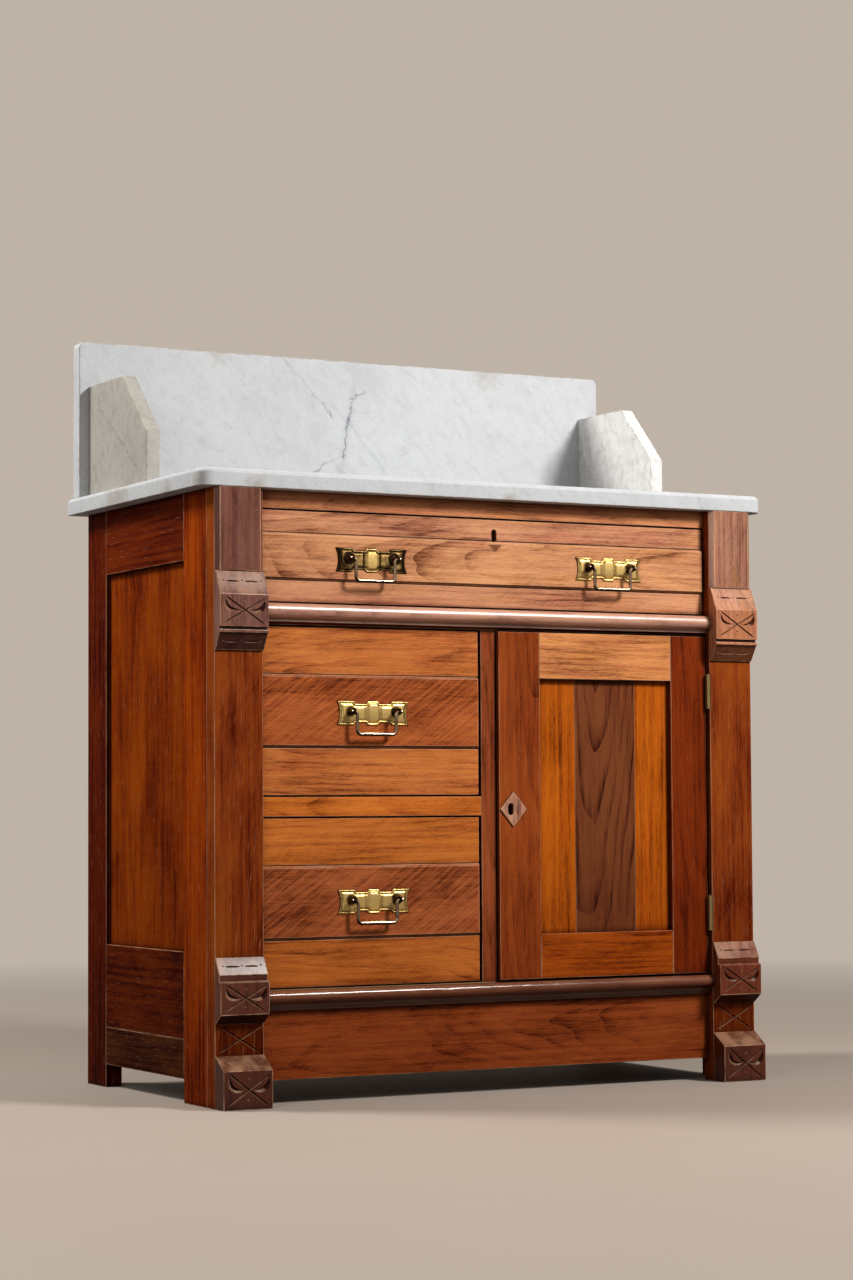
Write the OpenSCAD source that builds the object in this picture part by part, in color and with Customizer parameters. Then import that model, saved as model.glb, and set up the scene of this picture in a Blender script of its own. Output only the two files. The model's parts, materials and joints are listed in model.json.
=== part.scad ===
// Washstand: a walnut case with three drawers and a cupboard, under a marble
// slab with a splashback and two side wings. Millimetres, Z up, +Y to the back.
// The origin is on the floor, under the middle of the whole piece.

/* [Case] */
// Width of the case over its two front pilasters
case_w = 770; // [740:2:820]
// Depth of the case from the pilaster face to the back
case_d = 398; // [380:2:430]
// Height of the case, floor to the underside of the marble
case_h = 739; // [734:1:752]
// Thickness of the pilasters, stiles and side rails
board_t = 22; // [20:0.5:24]
// Thickness of the back boards
back_t = 9; // [6:0.5:12]

/* [Marble] */
// Thickness of the slab
slab_t = 22; // [18:1:28]
// How far the slab passes each side of the case
slab_side_over = 20; // [12:1:24]
// How far the slab passes the pilaster faces in front
slab_front_over = 6; // [6:1:12]
// How far the slab passes the back of the case
slab_back_over = 21; // [10:1:28]
// Radius of the slab's front corners, seen from above
slab_corner_r = 18; // [12:1:26]
// Radius of the slab's eased upper edge
slab_edge_r = 6; // [3:0.5:8]
// Height of the splashback above the slab
splash_h = 206; // [180:1:240]
// Thickness of the splashback
splash_t = 22; // [16:1:24]
// How far each end of the splashback stays inside the slab's end
splash_inset = 7; // [4:1:9]
// Radius of the splashback's upper corners
splash_corner_r = 8; // [4:1:14]
// Thickness of the wings
wing_t = 19; // [14:1:22]
// Height of the wings at the splashback
wing_h = 147; // [125:1:165]
// Height of the wings at their front edge
wing_front_h = 69; // [50:1:90]
// Depth of the wings at the slab
wing_d = 191; // [160:1:220]
// Depth of the level top of the wings
wing_top_d = 115; // [90:1:135]

/* [Side frames] */
// Width of the front stile behind the pilaster
front_stile_w = 68; // [55:1:75]
// Width of the rear stile, which runs down as the rear leg
rear_stile_w = 62; // [50:1:70]
// Height of the side's top rail
side_top_rail_h = 83; // [65:1:95]
// Height of the side's bottom rail
side_bottom_rail_h = 105; // [85:1:125]
// Height of the skirt strip under the bottom rail
skirt_h = 48; // [40:1:52]
// Thickness of the side panel
panel_t = 8; // [6:0.5:9]
// How far the side panel lies behind the frame's face
panel_recess = 6; // [4:0.5:8]
// How far the panel's edges run into the frame
panel_lap = 6; // [4:0.5:8]

/* [Pilasters] */
// Width of each pilaster
pilaster_w = 64; // [58:1:70]
// Height of the plain block at the top of each pilaster
top_block_h = 101; // [90:1:108]
// Thickness of that block
top_block_t = 5.5; // [4:0.5:6]
// How far the corbels stand out from the pilaster
corbel_out = 17; // [14:0.5:20]
// Height of the upper corbel
upper_corbel_h = 95; // [90:1:100]
// Level of the lower corbel's upper edge
lower_corbel_top = 178.5; // [176:0.5:181]
// Height of the lower corbel
lower_corbel_h = 79; // [77:1:81]
// How far the foot block stands out from the pilaster
foot_out = 25; // [20:0.5:30]
// Height of the foot block
foot_h = 62; // [58:1:70]

/* [Front rails] */
// How far the drawers and rails lie behind the pilaster face
fascia_set = 13; // [11:0.5:15]
// Depth of the rails between the drawers
rail_d = 50; // [42:1:60]
// Thickness of the top rail
top_rail_t = 22; // [18:1:26]
// Height of the space for the top drawer
top_space_h = 115; // [108:1:122]
// Thickness of the waist rail
waist_t = 26; // [23:1:28]
// Level of the underside of the rail between the left drawers
mid_rail_z = 344; // [334:1:354]
// Thickness of that rail
mid_rail_t = 24; // [20:1:26]
// Level of the cupboard floor
base_z = 137; // [134:1:140]
// Thickness of the floor board
floor_t = 19; // [16:1:20]
// Height of the base moulding
base_mould_h = 24; // [20:1:26]
// Height of the waist moulding
waist_mould_h = 22; // [19:1:22]
// How far both mouldings stand out from the pilaster face
mould_out = 5; // [3:0.5:8]
// Gap between the floor and the plinth rail
plinth_gap = 29; // [20:1:36]
// Left face of the divider between the drawers and the cupboard
divider_x = -14; // [-24:1:0]
// Width of the divider's face
divider_w = 20.5; // [16:0.5:22]
// Thickness of the partition behind the divider
partition_t = 15; // [12:1:18]

/* [Drawers] */
// Gap round each drawer front
front_gap = 2; // [1.5:0.1:2.4]
// Thickness of the drawer fronts
front_t = 20; // [18:0.5:22]
// Thickness of the drawer sides and backs
side_t = 10; // [8:0.5:12]
// Thickness of the drawer bottoms
bottom_t = 6; // [5:0.5:8]
// Space left behind the drawers
drawer_back_gap = 24; // [22:1:60]
// Length of the dovetails cut into the drawer fronts
tail_len = 12; // [10:0.5:14]
// Height of the raised band on the top drawer
top_band_h = 55.5; // [44:0.5:60]
// Height of the raised bands on the left drawers
left_band_h = 87; // [70:1:96]
// How far the bands stand out from the drawer fronts
band_out = 3; // [2:0.25:4]
// Distance from one dovetail to the next, about
tail_pitch = 33; // [28:1:40]

/* [Door] */
// How far the door lies behind the pilaster face
door_set = 7; // [6.5:0.25:8]
// Thickness of the door frame
door_t = 20; // [18:0.5:22]
// Width of the lock stile
lock_stile_w = 59.5; // [52:0.5:66]
// Width of the hinge stile
hinge_stile_w = 54; // [46:0.5:60]
// Height of the door's top rail
door_top_h = 58.5; // [48:0.5:66]
// Height of the door's bottom rail
door_bottom_h = 56; // [48:0.5:66]
// Thickness of the three upright boards in the door
door_board_t = 8; // [6:0.5:9]
// How far the boards lie behind the door's face
door_recess = 8; // [6:0.5:8]
// How far the boards run into the door frame
door_lap = 7; // [5:0.5:9]

/* [Hinges] */
// Length of each hinge
hinge_len = 45; // [38:1:52]
// Distance of the upper hinge's middle from the door's upper edge
upper_hinge_drop = 71.5; // [60:0.5:80]
// Distance of the lower hinge's middle from the door's lower edge
lower_hinge_rise = 77; // [66:1:86]
// Radius of the hinge knuckles
knuckle_r = 3; // [2.6:0.1:3.2]
// Radius of the hinge pins
pin_r = 1.4; // [1.2:0.1:1.6]

/* [Pulls] */
// Length of the pull plates
plate_w = 98; // [90:1:106]
// Height of the pull plates
plate_h = 29.5; // [26:0.5:33]
// Thickness of the pull plates
plate_t = 1.2; // [0.8:0.1:2]
// Distance between the two studs of a pull
stud_gap = 62; // [56:1:66]
// How far the bail's pivot stands out from the plate
pivot_out = 10; // [9:0.5:13]
// Height of the pivots above the plate's middle
pivot_up = 2; // [0:0.5:4]
// Diameter of the bail wire
bail_d = 4.4; // [3.6:0.1:4.8]
// Drop of the bail, pivot to the middle of its grip
bail_drop = 28; // [24:1:32]
// Distance of the top drawer's pulls from the drawer's middle
top_pull_x = 171; // [140:1:190]
// How far the top drawer's pulls sit right of its middle
fitting_shift = 2; // [0:0.5:4]

/* [Locks] */
// Width and height of the door's worn keyhole
door_keyhole = [8, 15]; // [4:0.5:16]
// Width and height of the top drawer's keyhole
drawer_keyhole = [7.5, 16]; // [4:0.5:18]
// How far the top drawer's lock sits right of its middle
key_shift = 6.5; // [0:0.5:8]
// Throw of both lock bolts
bolt_throw = 9; // [6:0.5:9]
// Width across the door's lozenge escutcheon
escutcheon_w = 38; // [30:1:38]
// Height of the door's lozenge escutcheon
escutcheon_h = 44; // [34:1:50]

/* [Hidden] */
$fn = 48;

walnut = "#8a4526";
walnut_dark = "#5c2b1c";
walnut_red = "#7a3420";
walnut_amber = "#a8602c";
pale_wood = "#b98c5a";
marble = "#e4e4e2";
brass = "#b59a4c";
bronze = "#5a4a3a";
steel = "#8d8d90";

// Clearances
slot_fit = 0.3;      // round a panel or board held in a groove
glide = 0.3;         // under a drawer side on its runner
seam = 0.4;          // between boards that lie edge to edge
butt_fit = 0.1;      // between a drawer's back and its sides
pivot_fit = 0.08;    // radial, round a bail or a hinge pin
bolt_fit = 0.25;     // round a lock bolt
leaf_gap = 0.2;      // between the two leaves of a closed hinge

// Levels and planes. Inside from_face() y counts back from the pilaster face.
total_d = foot_out + case_d + slab_back_over;
face_y = -total_d / 2 + foot_out;
fascia = fascia_set;
back_y = case_d - back_t;
half_w = case_w / 2;
opening = half_w - pilaster_w;
inner_w = half_w - board_t;
stile_y = board_t + front_stile_w;
rear_stile_y = case_d - rear_stile_w;
side_rail_z = plinth_gap + skirt_h;
panel_z0 = side_rail_z + side_bottom_rail_h;
panel_z1 = case_h - side_top_rail_h;
top_rail_z = case_h - top_rail_t;
waist_top = top_rail_z - top_space_h;
waist_z = waist_top - waist_t;
mid_rail_top = mid_rail_z + mid_rail_t;
plinth_top = base_z - floor_t;
plinth_t = board_t;
mould_drop = 0.5;    // of a moulding's top below the rail's
rear_rail_h = 44;
rear_rail_t = 20;
wing_x = half_w - wing_t;

// Runners and guides
runner_w = 21;
runner_h = 20;
guide_h = 20;
guide_gap = 1.5;

// Drawers: [left, right, bottom, top, band height, front top above box top]
drawer_len = back_y - fascia - drawer_back_gap;
top_drawer = [-opening + front_gap, opening - front_gap, waist_top + front_gap,
    top_rail_z - front_gap, top_band_h, 19];
left_drawer_x = [-opening + front_gap, divider_x - front_gap - 2];
upper_drawer = [left_drawer_x[0], left_drawer_x[1], mid_rail_top + front_gap,
    waist_z - front_gap, left_band_h, 24];
lower_drawer = [left_drawer_x[0], left_drawer_x[1], base_z + front_gap,
    mid_rail_z - front_gap, left_band_h, 25];
tail_flare = 3.5;
box_floor = 8;
vee_w = 2.4;
vee_d = 1.5;
band_bevel = 2;

// Door
door_x0 = divider_x + divider_w + 2;
door_x1 = opening - 2;
door_z0 = base_z + 2;
door_z1 = waist_z - 1.5;
door_y = [door_set, door_set + door_t];
light_x = [door_x0 + lock_stile_w, door_x1 - hinge_stile_w];
light_z = [door_z0 + door_bottom_h, door_z1 - door_top_h];
board_joints = [light_x[0] + 0.285 * (light_x[1] - light_x[0]),
    light_x[1] - 0.262 * (light_x[1] - light_x[0])];
stop_lip = 8;
divider_d = 22;

// Hinges
hinge_x = opening - 1;
hinge_y = door_set - 4.5;
leaf_t = 1 - leaf_gap / 2;
leaf_w = 18;
knuckle_n = 5;
hinge_levels = [door_z1 - upper_hinge_drop, door_z0 + lower_hinge_rise];

// Pulls
plate_y = fascia - band_out;
pull_drop = 2;       // of a pull below the middle of its band
left_pull_x = -168;
stud_r = 2.6;
eye_r = 4.2;
eye_t = 3.6;
collar_r = 5;
collar_t = 1.5;
bail_r = bail_d / 2;
bail_bend = 5;
bail_leg_x = stud_gap / 2 - eye_t / 2 - bail_r - 0.3;
bail_tip_x = stud_gap / 2 + eye_t / 2 + 2;
plate_dip = 3.3;
plate_tip = 0.8;

// Locks
door_key_inset = 15.5;
door_key_drop = 5;
drawer_key_drop = 20;
door_key = [door_x0 + door_key_inset, (door_z0 + door_z1) / 2 - door_key_drop];
door_lock = [38, 10, 56];
door_bolt_size = [24, 5, 12];
drawer_key = [key_shift, top_drawer[3] - drawer_key_drop];
drawer_lock = [48, 11, 47];
drawer_bolt_size = [18, 4.5, 11.5];
bolt_back = 0.3;
escutcheon_t = 2;
escutcheon_x = door_x0 + escutcheon_w / 2 + 0.5;

// Moves a shape from the pilaster face's own depth to the model's.
module from_face() translate([0, face_y, 0]) children();

// A box between two values on each axis.
module box(x, y, z)
    translate([x[0], y[0], z[0]]) cube([x[1] - x[0], y[1] - y[0], z[1] - z[0]]);

// Keeps a right-hand shape, or makes it a left-hand one.
module handed(side) mirror([side < 0 ? 1 : 0, 0, 0]) children();

// A right-hand shape and its mirror image.
module pair() for (side = [-1, 1]) handed(side) children();

// Extrudes a (y, z) outline along X, or an (x, z) outline back along Y.
module along_x(x) translate([x[0], 0, 0]) rotate([90, 0, 90]) linear_extrude(x[1] - x[0]) children();
module along_y(y) translate([0, y[1], 0]) rotate([90, 0, 0]) linear_extrude(y[1] - y[0]) children();

// ---- Marble ----

// Section of the slab's edge: it runs out from a corner's centre, and up.
module slab_edge() {
    flat = slab_corner_r - slab_edge_r;
    square([slab_corner_r, slab_t - slab_edge_r]);
    square([flat, slab_t]);
    translate([flat, slab_t - slab_edge_r]) circle(slab_edge_r);
}

module marble_slab() color(marble) from_face() translate([0, 0, case_h]) {
    x = half_w + slab_side_over - slab_corner_r;
    y = slab_corner_r - slab_front_over;
    back = case_d + slab_back_over;
    box([-x, x], [y, back], [0, slab_t]);
    translate([0, y, 0]) mirror([0, 1, 0]) along_x([-x, x]) slab_edge();
    pair() translate([x, 0, 0]) {
        along_y([y, back]) slab_edge();
        translate([0, y, 0]) rotate(-90) rotate_extrude(angle = 90) slab_edge();
    }
}

module splash_outline() {
    x = half_w + slab_side_over - splash_inset;
    r = splash_corner_r;
    translate([-x, 0]) square([2 * x, splash_h - r]);
    translate([r - x, 0]) square([2 * (x - r), splash_h]);
    for (side = [-1, 1]) translate([side * (x - r), splash_h - r]) circle(r);
}

module marble_splashback() color(marble) from_face() translate([0, 0, case_h + slab_t])
    along_y([case_d + slab_back_over - splash_t, case_d + slab_back_over]) splash_outline();

module wing(side) color(marble) from_face() translate([0, 0, case_h + slab_t]) handed(side)
    along_x([wing_x, half_w]) {
        back = case_d + slab_back_over - splash_t;
        polygon([[back, 0], [back, wing_h], [back - wing_top_d, wing_h],
            [back - wing_d, wing_front_h], [back - wing_d, 0]]);
    }

module marble_left_wing() wing(-1);
module marble_right_wing() wing(1);

// ---- Side frames ----

// The side panel, or with a clearance the slot that holds it.
module panel_shape(fit) {
    x = half_w - panel_recess;
    box([x - panel_t - fit, x + fit],
        [stile_y - panel_lap - fit, rear_stile_y + panel_lap + fit],
        [panel_z0 - panel_lap - fit, panel_z1 + panel_lap + fit]);
}

// A board of the side frame, with the panel's slot cut where it meets it.
module frame_board(y, z) difference() {
    box([inner_w, half_w], y, z);
    panel_shape(slot_fit);
}

module front_stile(side) color(walnut_red) from_face() handed(side)
    frame_board([board_t, stile_y], [0, case_h]);
module rear_stile(side) color(walnut_red) from_face() handed(side)
    frame_board([rear_stile_y, case_d], [0, case_h]);
module side_panel(side) color(walnut_amber) from_face() handed(side) panel_shape(0);

module left_front_stile() front_stile(-1);
module right_front_stile() front_stile(1);
module left_rear_stile() rear_stile(-1);
module right_rear_stile() rear_stile(1);
module left_side_panel() side_panel(-1);
module right_side_panel() side_panel(1);

module side_top_rails() color(walnut) from_face() pair()
    frame_board([stile_y, rear_stile_y], [panel_z1, case_h]);
module side_bottom_rails() color(walnut) from_face() pair()
    frame_board([stile_y, rear_stile_y], [side_rail_z, panel_z0]);
module side_skirts() color(walnut_dark) from_face() pair()
    frame_board([stile_y, rear_stile_y], [plinth_gap, side_rail_z - seam]);

// ---- Pilasters and their blocks ----

// Room for a hinge's knuckles, let into the pilaster's inner corner.
module knuckle_notch(z) translate([hinge_x, hinge_y, z - hinge_len / 2 - slot_fit])
    cylinder(h = hinge_len + 2 * slot_fit, r = knuckle_r + slot_fit);

module pilaster() box([opening, half_w], [0, board_t], [0, case_h]);

module left_pilaster() color(walnut_dark) from_face() handed(-1) pilaster();
module right_pilaster() color(walnut_dark) from_face() difference() {
    pilaster();
    for (z = hinge_levels) knuckle_notch(z);
}

module top_blocks() color(walnut_dark) from_face() pair() translate([0, 0, case_h - top_block_h])
    linear_extrude(top_block_h)
        polygon([[opening, 0], [opening + top_block_t, -top_block_t],
            [half_w - top_block_t, -top_block_t], [half_w, 0]]);

// Outline of the upper corbel: a long slope, a fillet, the carved face, a
// groove and a bead, and an undercut slope back to the pilaster.
module upper_corbel_outline() {
    h = upper_corbel_h;
    top = case_h - top_block_h;
    out = corbel_out;
    polygon([[0, top], [-4, top], [2.5 - out, top - 0.26 * h], [-out, top - 0.3 * h],
        [-out, top - 0.71 * h], [4 - out, top - 0.71 * h], [4 - out, top - 0.745 * h],
        [-out, top - 0.745 * h], [-out, top - 0.785 * h], [2 - out, top - 0.785 * h],
        [-2.5, top - h], [0, top - h]]);
}

// Outline of the lower corbel: a slope over a hollow, the carved face, an undercut.
module lower_corbel_outline() {
    h = lower_corbel_h;
    top = lower_corbel_top;
    out = corbel_out;
    polygon([[0, top], [-1.5, top], [4 - out, top - 0.265 * h], [5 - out, top - 0.275 * h],
        [5 - out, top - 0.35 * h], [-out, top - 0.37 * h], [-out, top - 0.855 * h],
        [-1.5, top - h], [0, top - h]]);
}

module foot_outline()
    polygon([[0, foot_h], [-1.5, foot_h], [-foot_out, 0.745 * foot_h], [-foot_out, 0], [0, 0]]);

module upper_corbels() color(walnut_dark) from_face() pair()
    along_x([opening, half_w]) upper_corbel_outline();
module lower_corbels() color(walnut_dark) from_face() pair()
    along_x([opening, half_w]) lower_corbel_outline();
module foot_blocks() color(walnut_dark) from_face() pair()
    along_x([opening, half_w]) foot_outline();

// ---- Front rails and mouldings ----

// A rail that shows between the pilasters and passes behind them to the stiles.
module housed_rail(y1, z) {
    box([-opening, opening], [fascia, board_t], z);
    box([-inner_w, inner_w], [board_t, y1], z);
}

module top_rail() color(walnut) from_face() difference() {
    housed_rail(fascia + rail_d, [top_rail_z, case_h]);
    drawer_bolt_space(bolt_throw + 1 + front_gap);
}

module waist_rail() color(walnut_red) from_face()
    housed_rail(fascia + rail_d, [waist_z, waist_top]);

// A rounded nosing of radius r over one or more fillets, against the rail behind.
module moulding_outline(top, h, r, fillets) {
    nose_y = r - mould_out;
    step = (h - 2 * r) / len(fillets);
    translate([nose_y, top - r]) circle(r);
    translate([nose_y, top - 2 * r]) square([fascia - nose_y, 2 * r]);
    for (i = [0 : len(fillets) - 1])
        translate([fascia - fillets[i], top - 2 * r - (i + 1) * step]) square([fillets[i], step]);
}

module waist_moulding() color(walnut_dark) from_face() along_x([-opening, opening])
    moulding_outline(waist_top - mould_drop, waist_mould_h, (fascia + mould_out) / 2, [8]);
module base_moulding() color(walnut_dark) from_face() along_x([-opening, opening])
    moulding_outline(base_z - mould_drop, base_mould_h, base_mould_h / 3, [9, 5]);

module divider_stile() color(walnut_red) from_face() difference() {
    union() {
        box([divider_x, divider_x + divider_w], [fascia, fascia + divider_d], [base_z, waist_z]);
        box([divider_x, door_x0 + stop_lip], [door_y[1] + slot_fit, fascia + divider_d],
            [base_z, waist_z]);
    }
    door_bolt_space(bolt_throw + 1);
}

module drawer_rail() color(walnut) from_face() {
    box([-opening, divider_x], [fascia, board_t], [mid_rail_z, mid_rail_top]);
    box([-inner_w, divider_x], [board_t, fascia + rail_d], [mid_rail_z, mid_rail_top]);
}

module plinth_rail() color(walnut) from_face()
    housed_rail(fascia + plinth_t, [plinth_gap, plinth_top]);

// ---- Inside the case ----

module cupboard_floor() color(pale_wood) from_face()
    housed_rail(back_y, [plinth_top, base_z]);

module partition() color(pale_wood) from_face()
    box([divider_x, divider_x + partition_t], [fascia + divider_d, back_y], [base_z, waist_z]);

module back_boards() color(pale_wood) from_face() {
    board_h = (case_h - plinth_top) / 3;
    for (i = [0 : 2])
        box([-inner_w, inner_w], [back_y, case_d],
            [plinth_top + i * board_h, plinth_top + (i + 1) * board_h - (i < 2 ? seam : 0)]);
}

module rear_top_rail() color(pale_wood) from_face()
    box([-inner_w, inner_w], [back_y - rear_rail_t, back_y], [case_h - rear_rail_h, case_h]);

// A strip beside a drawer that keeps it straight.
module guide(top) box([opening - front_gap + guide_gap, inner_w], [board_t, back_y],
    [top, top + guide_h]);

// A runner with its guide on top, fastened to the side frame.
module guided_runner(top) {
    box([opening - runner_w, inner_w], [fascia + rail_d, back_y], [top - runner_h, top]);
    guide(top);
}

module drawer_runners() color(pale_wood) from_face() {
    pair() guided_runner(waist_top);
    handed(-1) guided_runner(mid_rail_top);
    handed(-1) guide(base_z);
    box([divider_x - runner_w, divider_x], [fascia + rail_d, back_y],
        [mid_rail_top - runner_h, mid_rail_top]);
    pair() box([opening - runner_w, inner_w], [fascia + rail_d, back_y - rear_rail_t],
        [top_rail_z, case_h]);
}

// ---- Drawers ----

// A drawer box's level and height, and the number of its dovetails.
function box_z(d) = d[2] - front_gap + glide;
function box_h(d) = d[3] - d[2] - d[5];
function tail_count(d) = round(box_h(d) / tail_pitch);

// The dovetails at the front end of both drawer sides.
module tails(d) {
    n = tail_count(d);
    pitch = box_h(d) / n;
    root = 0.22 * pitch;
    shoulder = fascia + front_t;
    for (x = [[d[0], d[0] + side_t], [d[1] - side_t, d[1]]], i = [0 : n - 1])
        translate([0, 0, box_z(d) + (i + 0.5) * pitch]) along_x(x)
            polygon([[shoulder, -root], [shoulder - tail_len, -root - tail_flare],
                [shoulder - tail_len, root + tail_flare], [shoulder, root]]);
}

// The drawer's bottom, or with a clearance the groove that holds it.
module bottom_shape(d, fit) box([d[0] + side_t / 2 - fit, d[1] - side_t / 2 + fit],
    [fascia + front_t - side_t / 2 - fit, fascia + drawer_len + fit],
    [box_z(d) + box_floor - fit, box_z(d) + box_floor + bottom_t + fit]);

function band_z(d) = [(d[2] + d[3] - d[4]) / 2, (d[2] + d[3] + d[4]) / 2];

// A front board with a vee cut along each edge of the raised band.
module front_board(d) difference() {
    box([d[0], d[1]], [fascia, fascia + front_t], [d[2], d[3]]);
    for (side = [0, 1]) translate([0, 0, band_z(d)[side]]) mirror([0, 0, 1 - side])
        along_x([d[0] - 1, d[1] + 1])
            polygon([[fascia - 1, -0.01], [fascia + vee_d, vee_w / 2], [fascia - 1, vee_w]]);
    tails(d);
    bottom_shape(d, slot_fit);
}

// The raised band, bevelled on all four edges.
module band(d) color(walnut_amber) from_face() intersection() {
    face = plate_y + band_bevel;
    z = band_z(d);
    along_x([d[0], d[1]]) polygon([[fascia, z[0]], [face, z[0]], [plate_y, z[0] + band_bevel],
        [plate_y, z[1] - band_bevel], [face, z[1]], [fascia, z[1]]]);
    translate([0, 0, z[0]]) linear_extrude(d[4])
        polygon([[d[0], fascia], [d[0], face], [d[0] + band_bevel, plate_y],
            [d[1] - band_bevel, plate_y], [d[1], face], [d[1], fascia]]);
}

// Two dovetailed sides, and the back between them on top of the bottom.
module drawer_box(d) color(pale_wood) from_face() {
    y = [fascia + front_t, fascia + drawer_len];
    z = [box_z(d), box_z(d) + box_h(d)];
    difference() {
        union() {
            box([d[0], d[0] + side_t], y, z);
            box([d[1] - side_t, d[1]], y, z);
            tails(d);
        }
        bottom_shape(d, slot_fit);
    }
    box([d[0] + side_t + butt_fit, d[1] - side_t - butt_fit], [y[1] - side_t, y[1]],
        [z[0] + box_floor + bottom_t, z[1] - 6]);
}

module drawer_bottom(d) color(pale_wood) from_face() bottom_shape(d, 0);

// A keyhole: a slot with round ends, cut right through along Y.
module keyhole_cut(at, size, y) translate([at[0], 0, at[1]]) along_y(y) {
    straight = size[1] - size[0];
    translate([-size[0] / 2, -straight / 2]) square([size[0], straight]);
    for (side = [-1, 1]) translate([0, side * straight / 2]) circle(size[0] / 2);
}

module top_drawer_front() color(walnut) from_face() difference() {
    front_board(top_drawer);
    drawer_lock_body();
    keyhole_cut(drawer_key, drawer_keyhole, [fascia - 1, fascia + front_t]);
}
module top_drawer_band() band(top_drawer);
module top_drawer_box() drawer_box(top_drawer);
module top_drawer_bottom() drawer_bottom(top_drawer);

module upper_drawer_front() color(walnut) from_face() front_board(upper_drawer);
module upper_drawer_band() band(upper_drawer);
module upper_drawer_box() drawer_box(upper_drawer);
module upper_drawer_bottom() drawer_bottom(upper_drawer);

module lower_drawer_front() color(walnut) from_face() front_board(lower_drawer);
module lower_drawer_band() band(lower_drawer);
module lower_drawer_box() drawer_box(lower_drawer);
module lower_drawer_bottom() drawer_bottom(lower_drawer);

// ---- Pulls ----

function band_mid(d) = (d[2] + d[3]) / 2;

// Places a pull's parts on its drawer: the plate's middle is at the origin.
module at_pull(x, z) from_face() translate([x, plate_y, z]) children();

// Outline of a plate: stepped lobes above and below, hollow ends.
module plate_outline() {
    a = plate_w / 2;
    h = plate_h / 2;
    low = h - 3.2;
    upper = [[-a, h], [-a + 22.5, h], [-a + 25, low], [-9.5, low], [-7, h],
        [7, h], [9.5, low], [a - 25, low], [a - 22.5, h], [a, h]];
    lower = [for (i = [len(upper) - 1 : -1 : 0]) [upper[i][0], -upper[i][1]]];
    half = h - plate_tip;
    end_r = (half * half + plate_dip * plate_dip) / (2 * plate_dip);
    difference() {
        polygon(concat(upper, lower));
        for (side = [-1, 1]) translate([side * (a - plate_dip + end_r), 0]) circle(end_r);
    }
}

// A stud on its collar, with an eye for the bail.
module stud() difference() {
    y = -plate_t - pivot_out;
    root = eye_r - 1.2;
    union() {
        translate([0, y + root, 0]) rotate([-90, 0, 0])
            cylinder(h = pivot_out - root + plate_t / 2, r = stud_r);
        translate([0, -plate_t - collar_t, 0]) rotate([-90, 0, 0])
            cylinder(h = collar_t + plate_t / 2, r = collar_r);
        translate([-eye_t / 2, y, 0]) rotate([0, 90, 0]) cylinder(h = eye_t, r = eye_r);
    }
    translate([-eye_t, y, 0]) rotate([0, 90, 0]) cylinder(h = 2 * eye_t, r = bail_r + pivot_fit);
}

module pull_plate(x, z) color(brass) at_pull(x, z) {
    along_y([-plate_t, 0]) plate_outline();
    for (side = [-1, 1]) translate([side * stud_gap / 2, 0, pivot_up]) stud();
}

// The bail: two legs turned out through the eyes, round bends, a straight grip.
module bail(x, z) color(bronze) at_pull(x, z) translate([0, -plate_t - pivot_out, pivot_up]) {
    bend = bail_bend;
    grip = bail_leg_x - bend;
    pair() {
        translate([bail_leg_x, 0, bend - bail_drop]) cylinder(h = bail_drop - bend, r = bail_r);
        translate([bail_leg_x, 0, 0]) sphere(bail_r);
        translate([bail_leg_x, 0, 0]) rotate([0, 90, 0])
            cylinder(h = bail_tip_x - bail_leg_x, r = bail_r);
        translate([grip, 0, bend - bail_drop]) rotate([90, 0, 0]) rotate(-90)
            rotate_extrude(angle = 90) translate([bend, 0]) circle(bail_r);
    }
    translate([-grip, 0, -bail_drop]) rotate([0, 90, 0]) cylinder(h = 2 * grip, r = bail_r);
}

top_pull_z = band_mid(top_drawer) - pull_drop;
upper_pull_z = band_mid(upper_drawer) - pull_drop;
lower_pull_z = band_mid(lower_drawer);
top_pulls = [fitting_shift - top_pull_x, fitting_shift + top_pull_x];

module top_drawer_pull_plates() for (x = top_pulls) pull_plate(x, top_pull_z);
module upper_drawer_pull_plate() pull_plate(left_pull_x, upper_pull_z);
module lower_drawer_pull_plate() pull_plate(left_pull_x, lower_pull_z);
module top_left_bail() bail(top_pulls[0], top_pull_z);
module top_right_bail() bail(top_pulls[1], top_pull_z);
module upper_drawer_bail() bail(left_pull_x, upper_pull_z);
module lower_drawer_bail() bail(left_pull_x, lower_pull_z);

// ---- Door ----

// The three boards as one, or with a clearance the groove that holds them.
module boards_shape(fit) box([light_x[0] - door_lap - fit, light_x[1] + door_lap + fit],
    [door_set + door_recess - fit, door_set + door_recess + door_board_t + fit],
    [light_z[0] - door_lap - fit, light_z[1] + door_lap + fit]);

module door_stiles() color(walnut_red) from_face() difference() {
    union() {
        box([door_x0, light_x[0]], door_y, [door_z0, door_z1]);
        box([light_x[1], door_x1], door_y, [door_z0, door_z1]);
    }
    boards_shape(slot_fit);
    door_lock_body();
    keyhole_cut(door_key, door_keyhole, [door_y[0] - 1, door_y[1]]);
}

module door_rails() color(walnut) from_face() difference() {
    union() {
        box(light_x, door_y, [door_z0, light_z[0]]);
        box(light_x, door_y, [light_z[1], door_z1]);
    }
    boards_shape(slot_fit);
}

module door_boards() color(walnut_amber) from_face() difference() {
    boards_shape(0);
    for (x = board_joints)
        box([x - seam / 2, x + seam / 2], [0, case_d], [0, case_h]);
}

module door_escutcheon() color(pale_wood) from_face() difference() {
    translate([escutcheon_x, 0, door_key[1]]) along_y([door_y[0] - escutcheon_t, door_y[0]])
        polygon([[-escutcheon_w / 2, 0], [0, escutcheon_h / 2], [escutcheon_w / 2, 0],
            [0, -escutcheon_h / 2]]);
    keyhole_cut(door_key, door_keyhole, [0, door_y[1]]);
}

// ---- Locks ----

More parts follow.
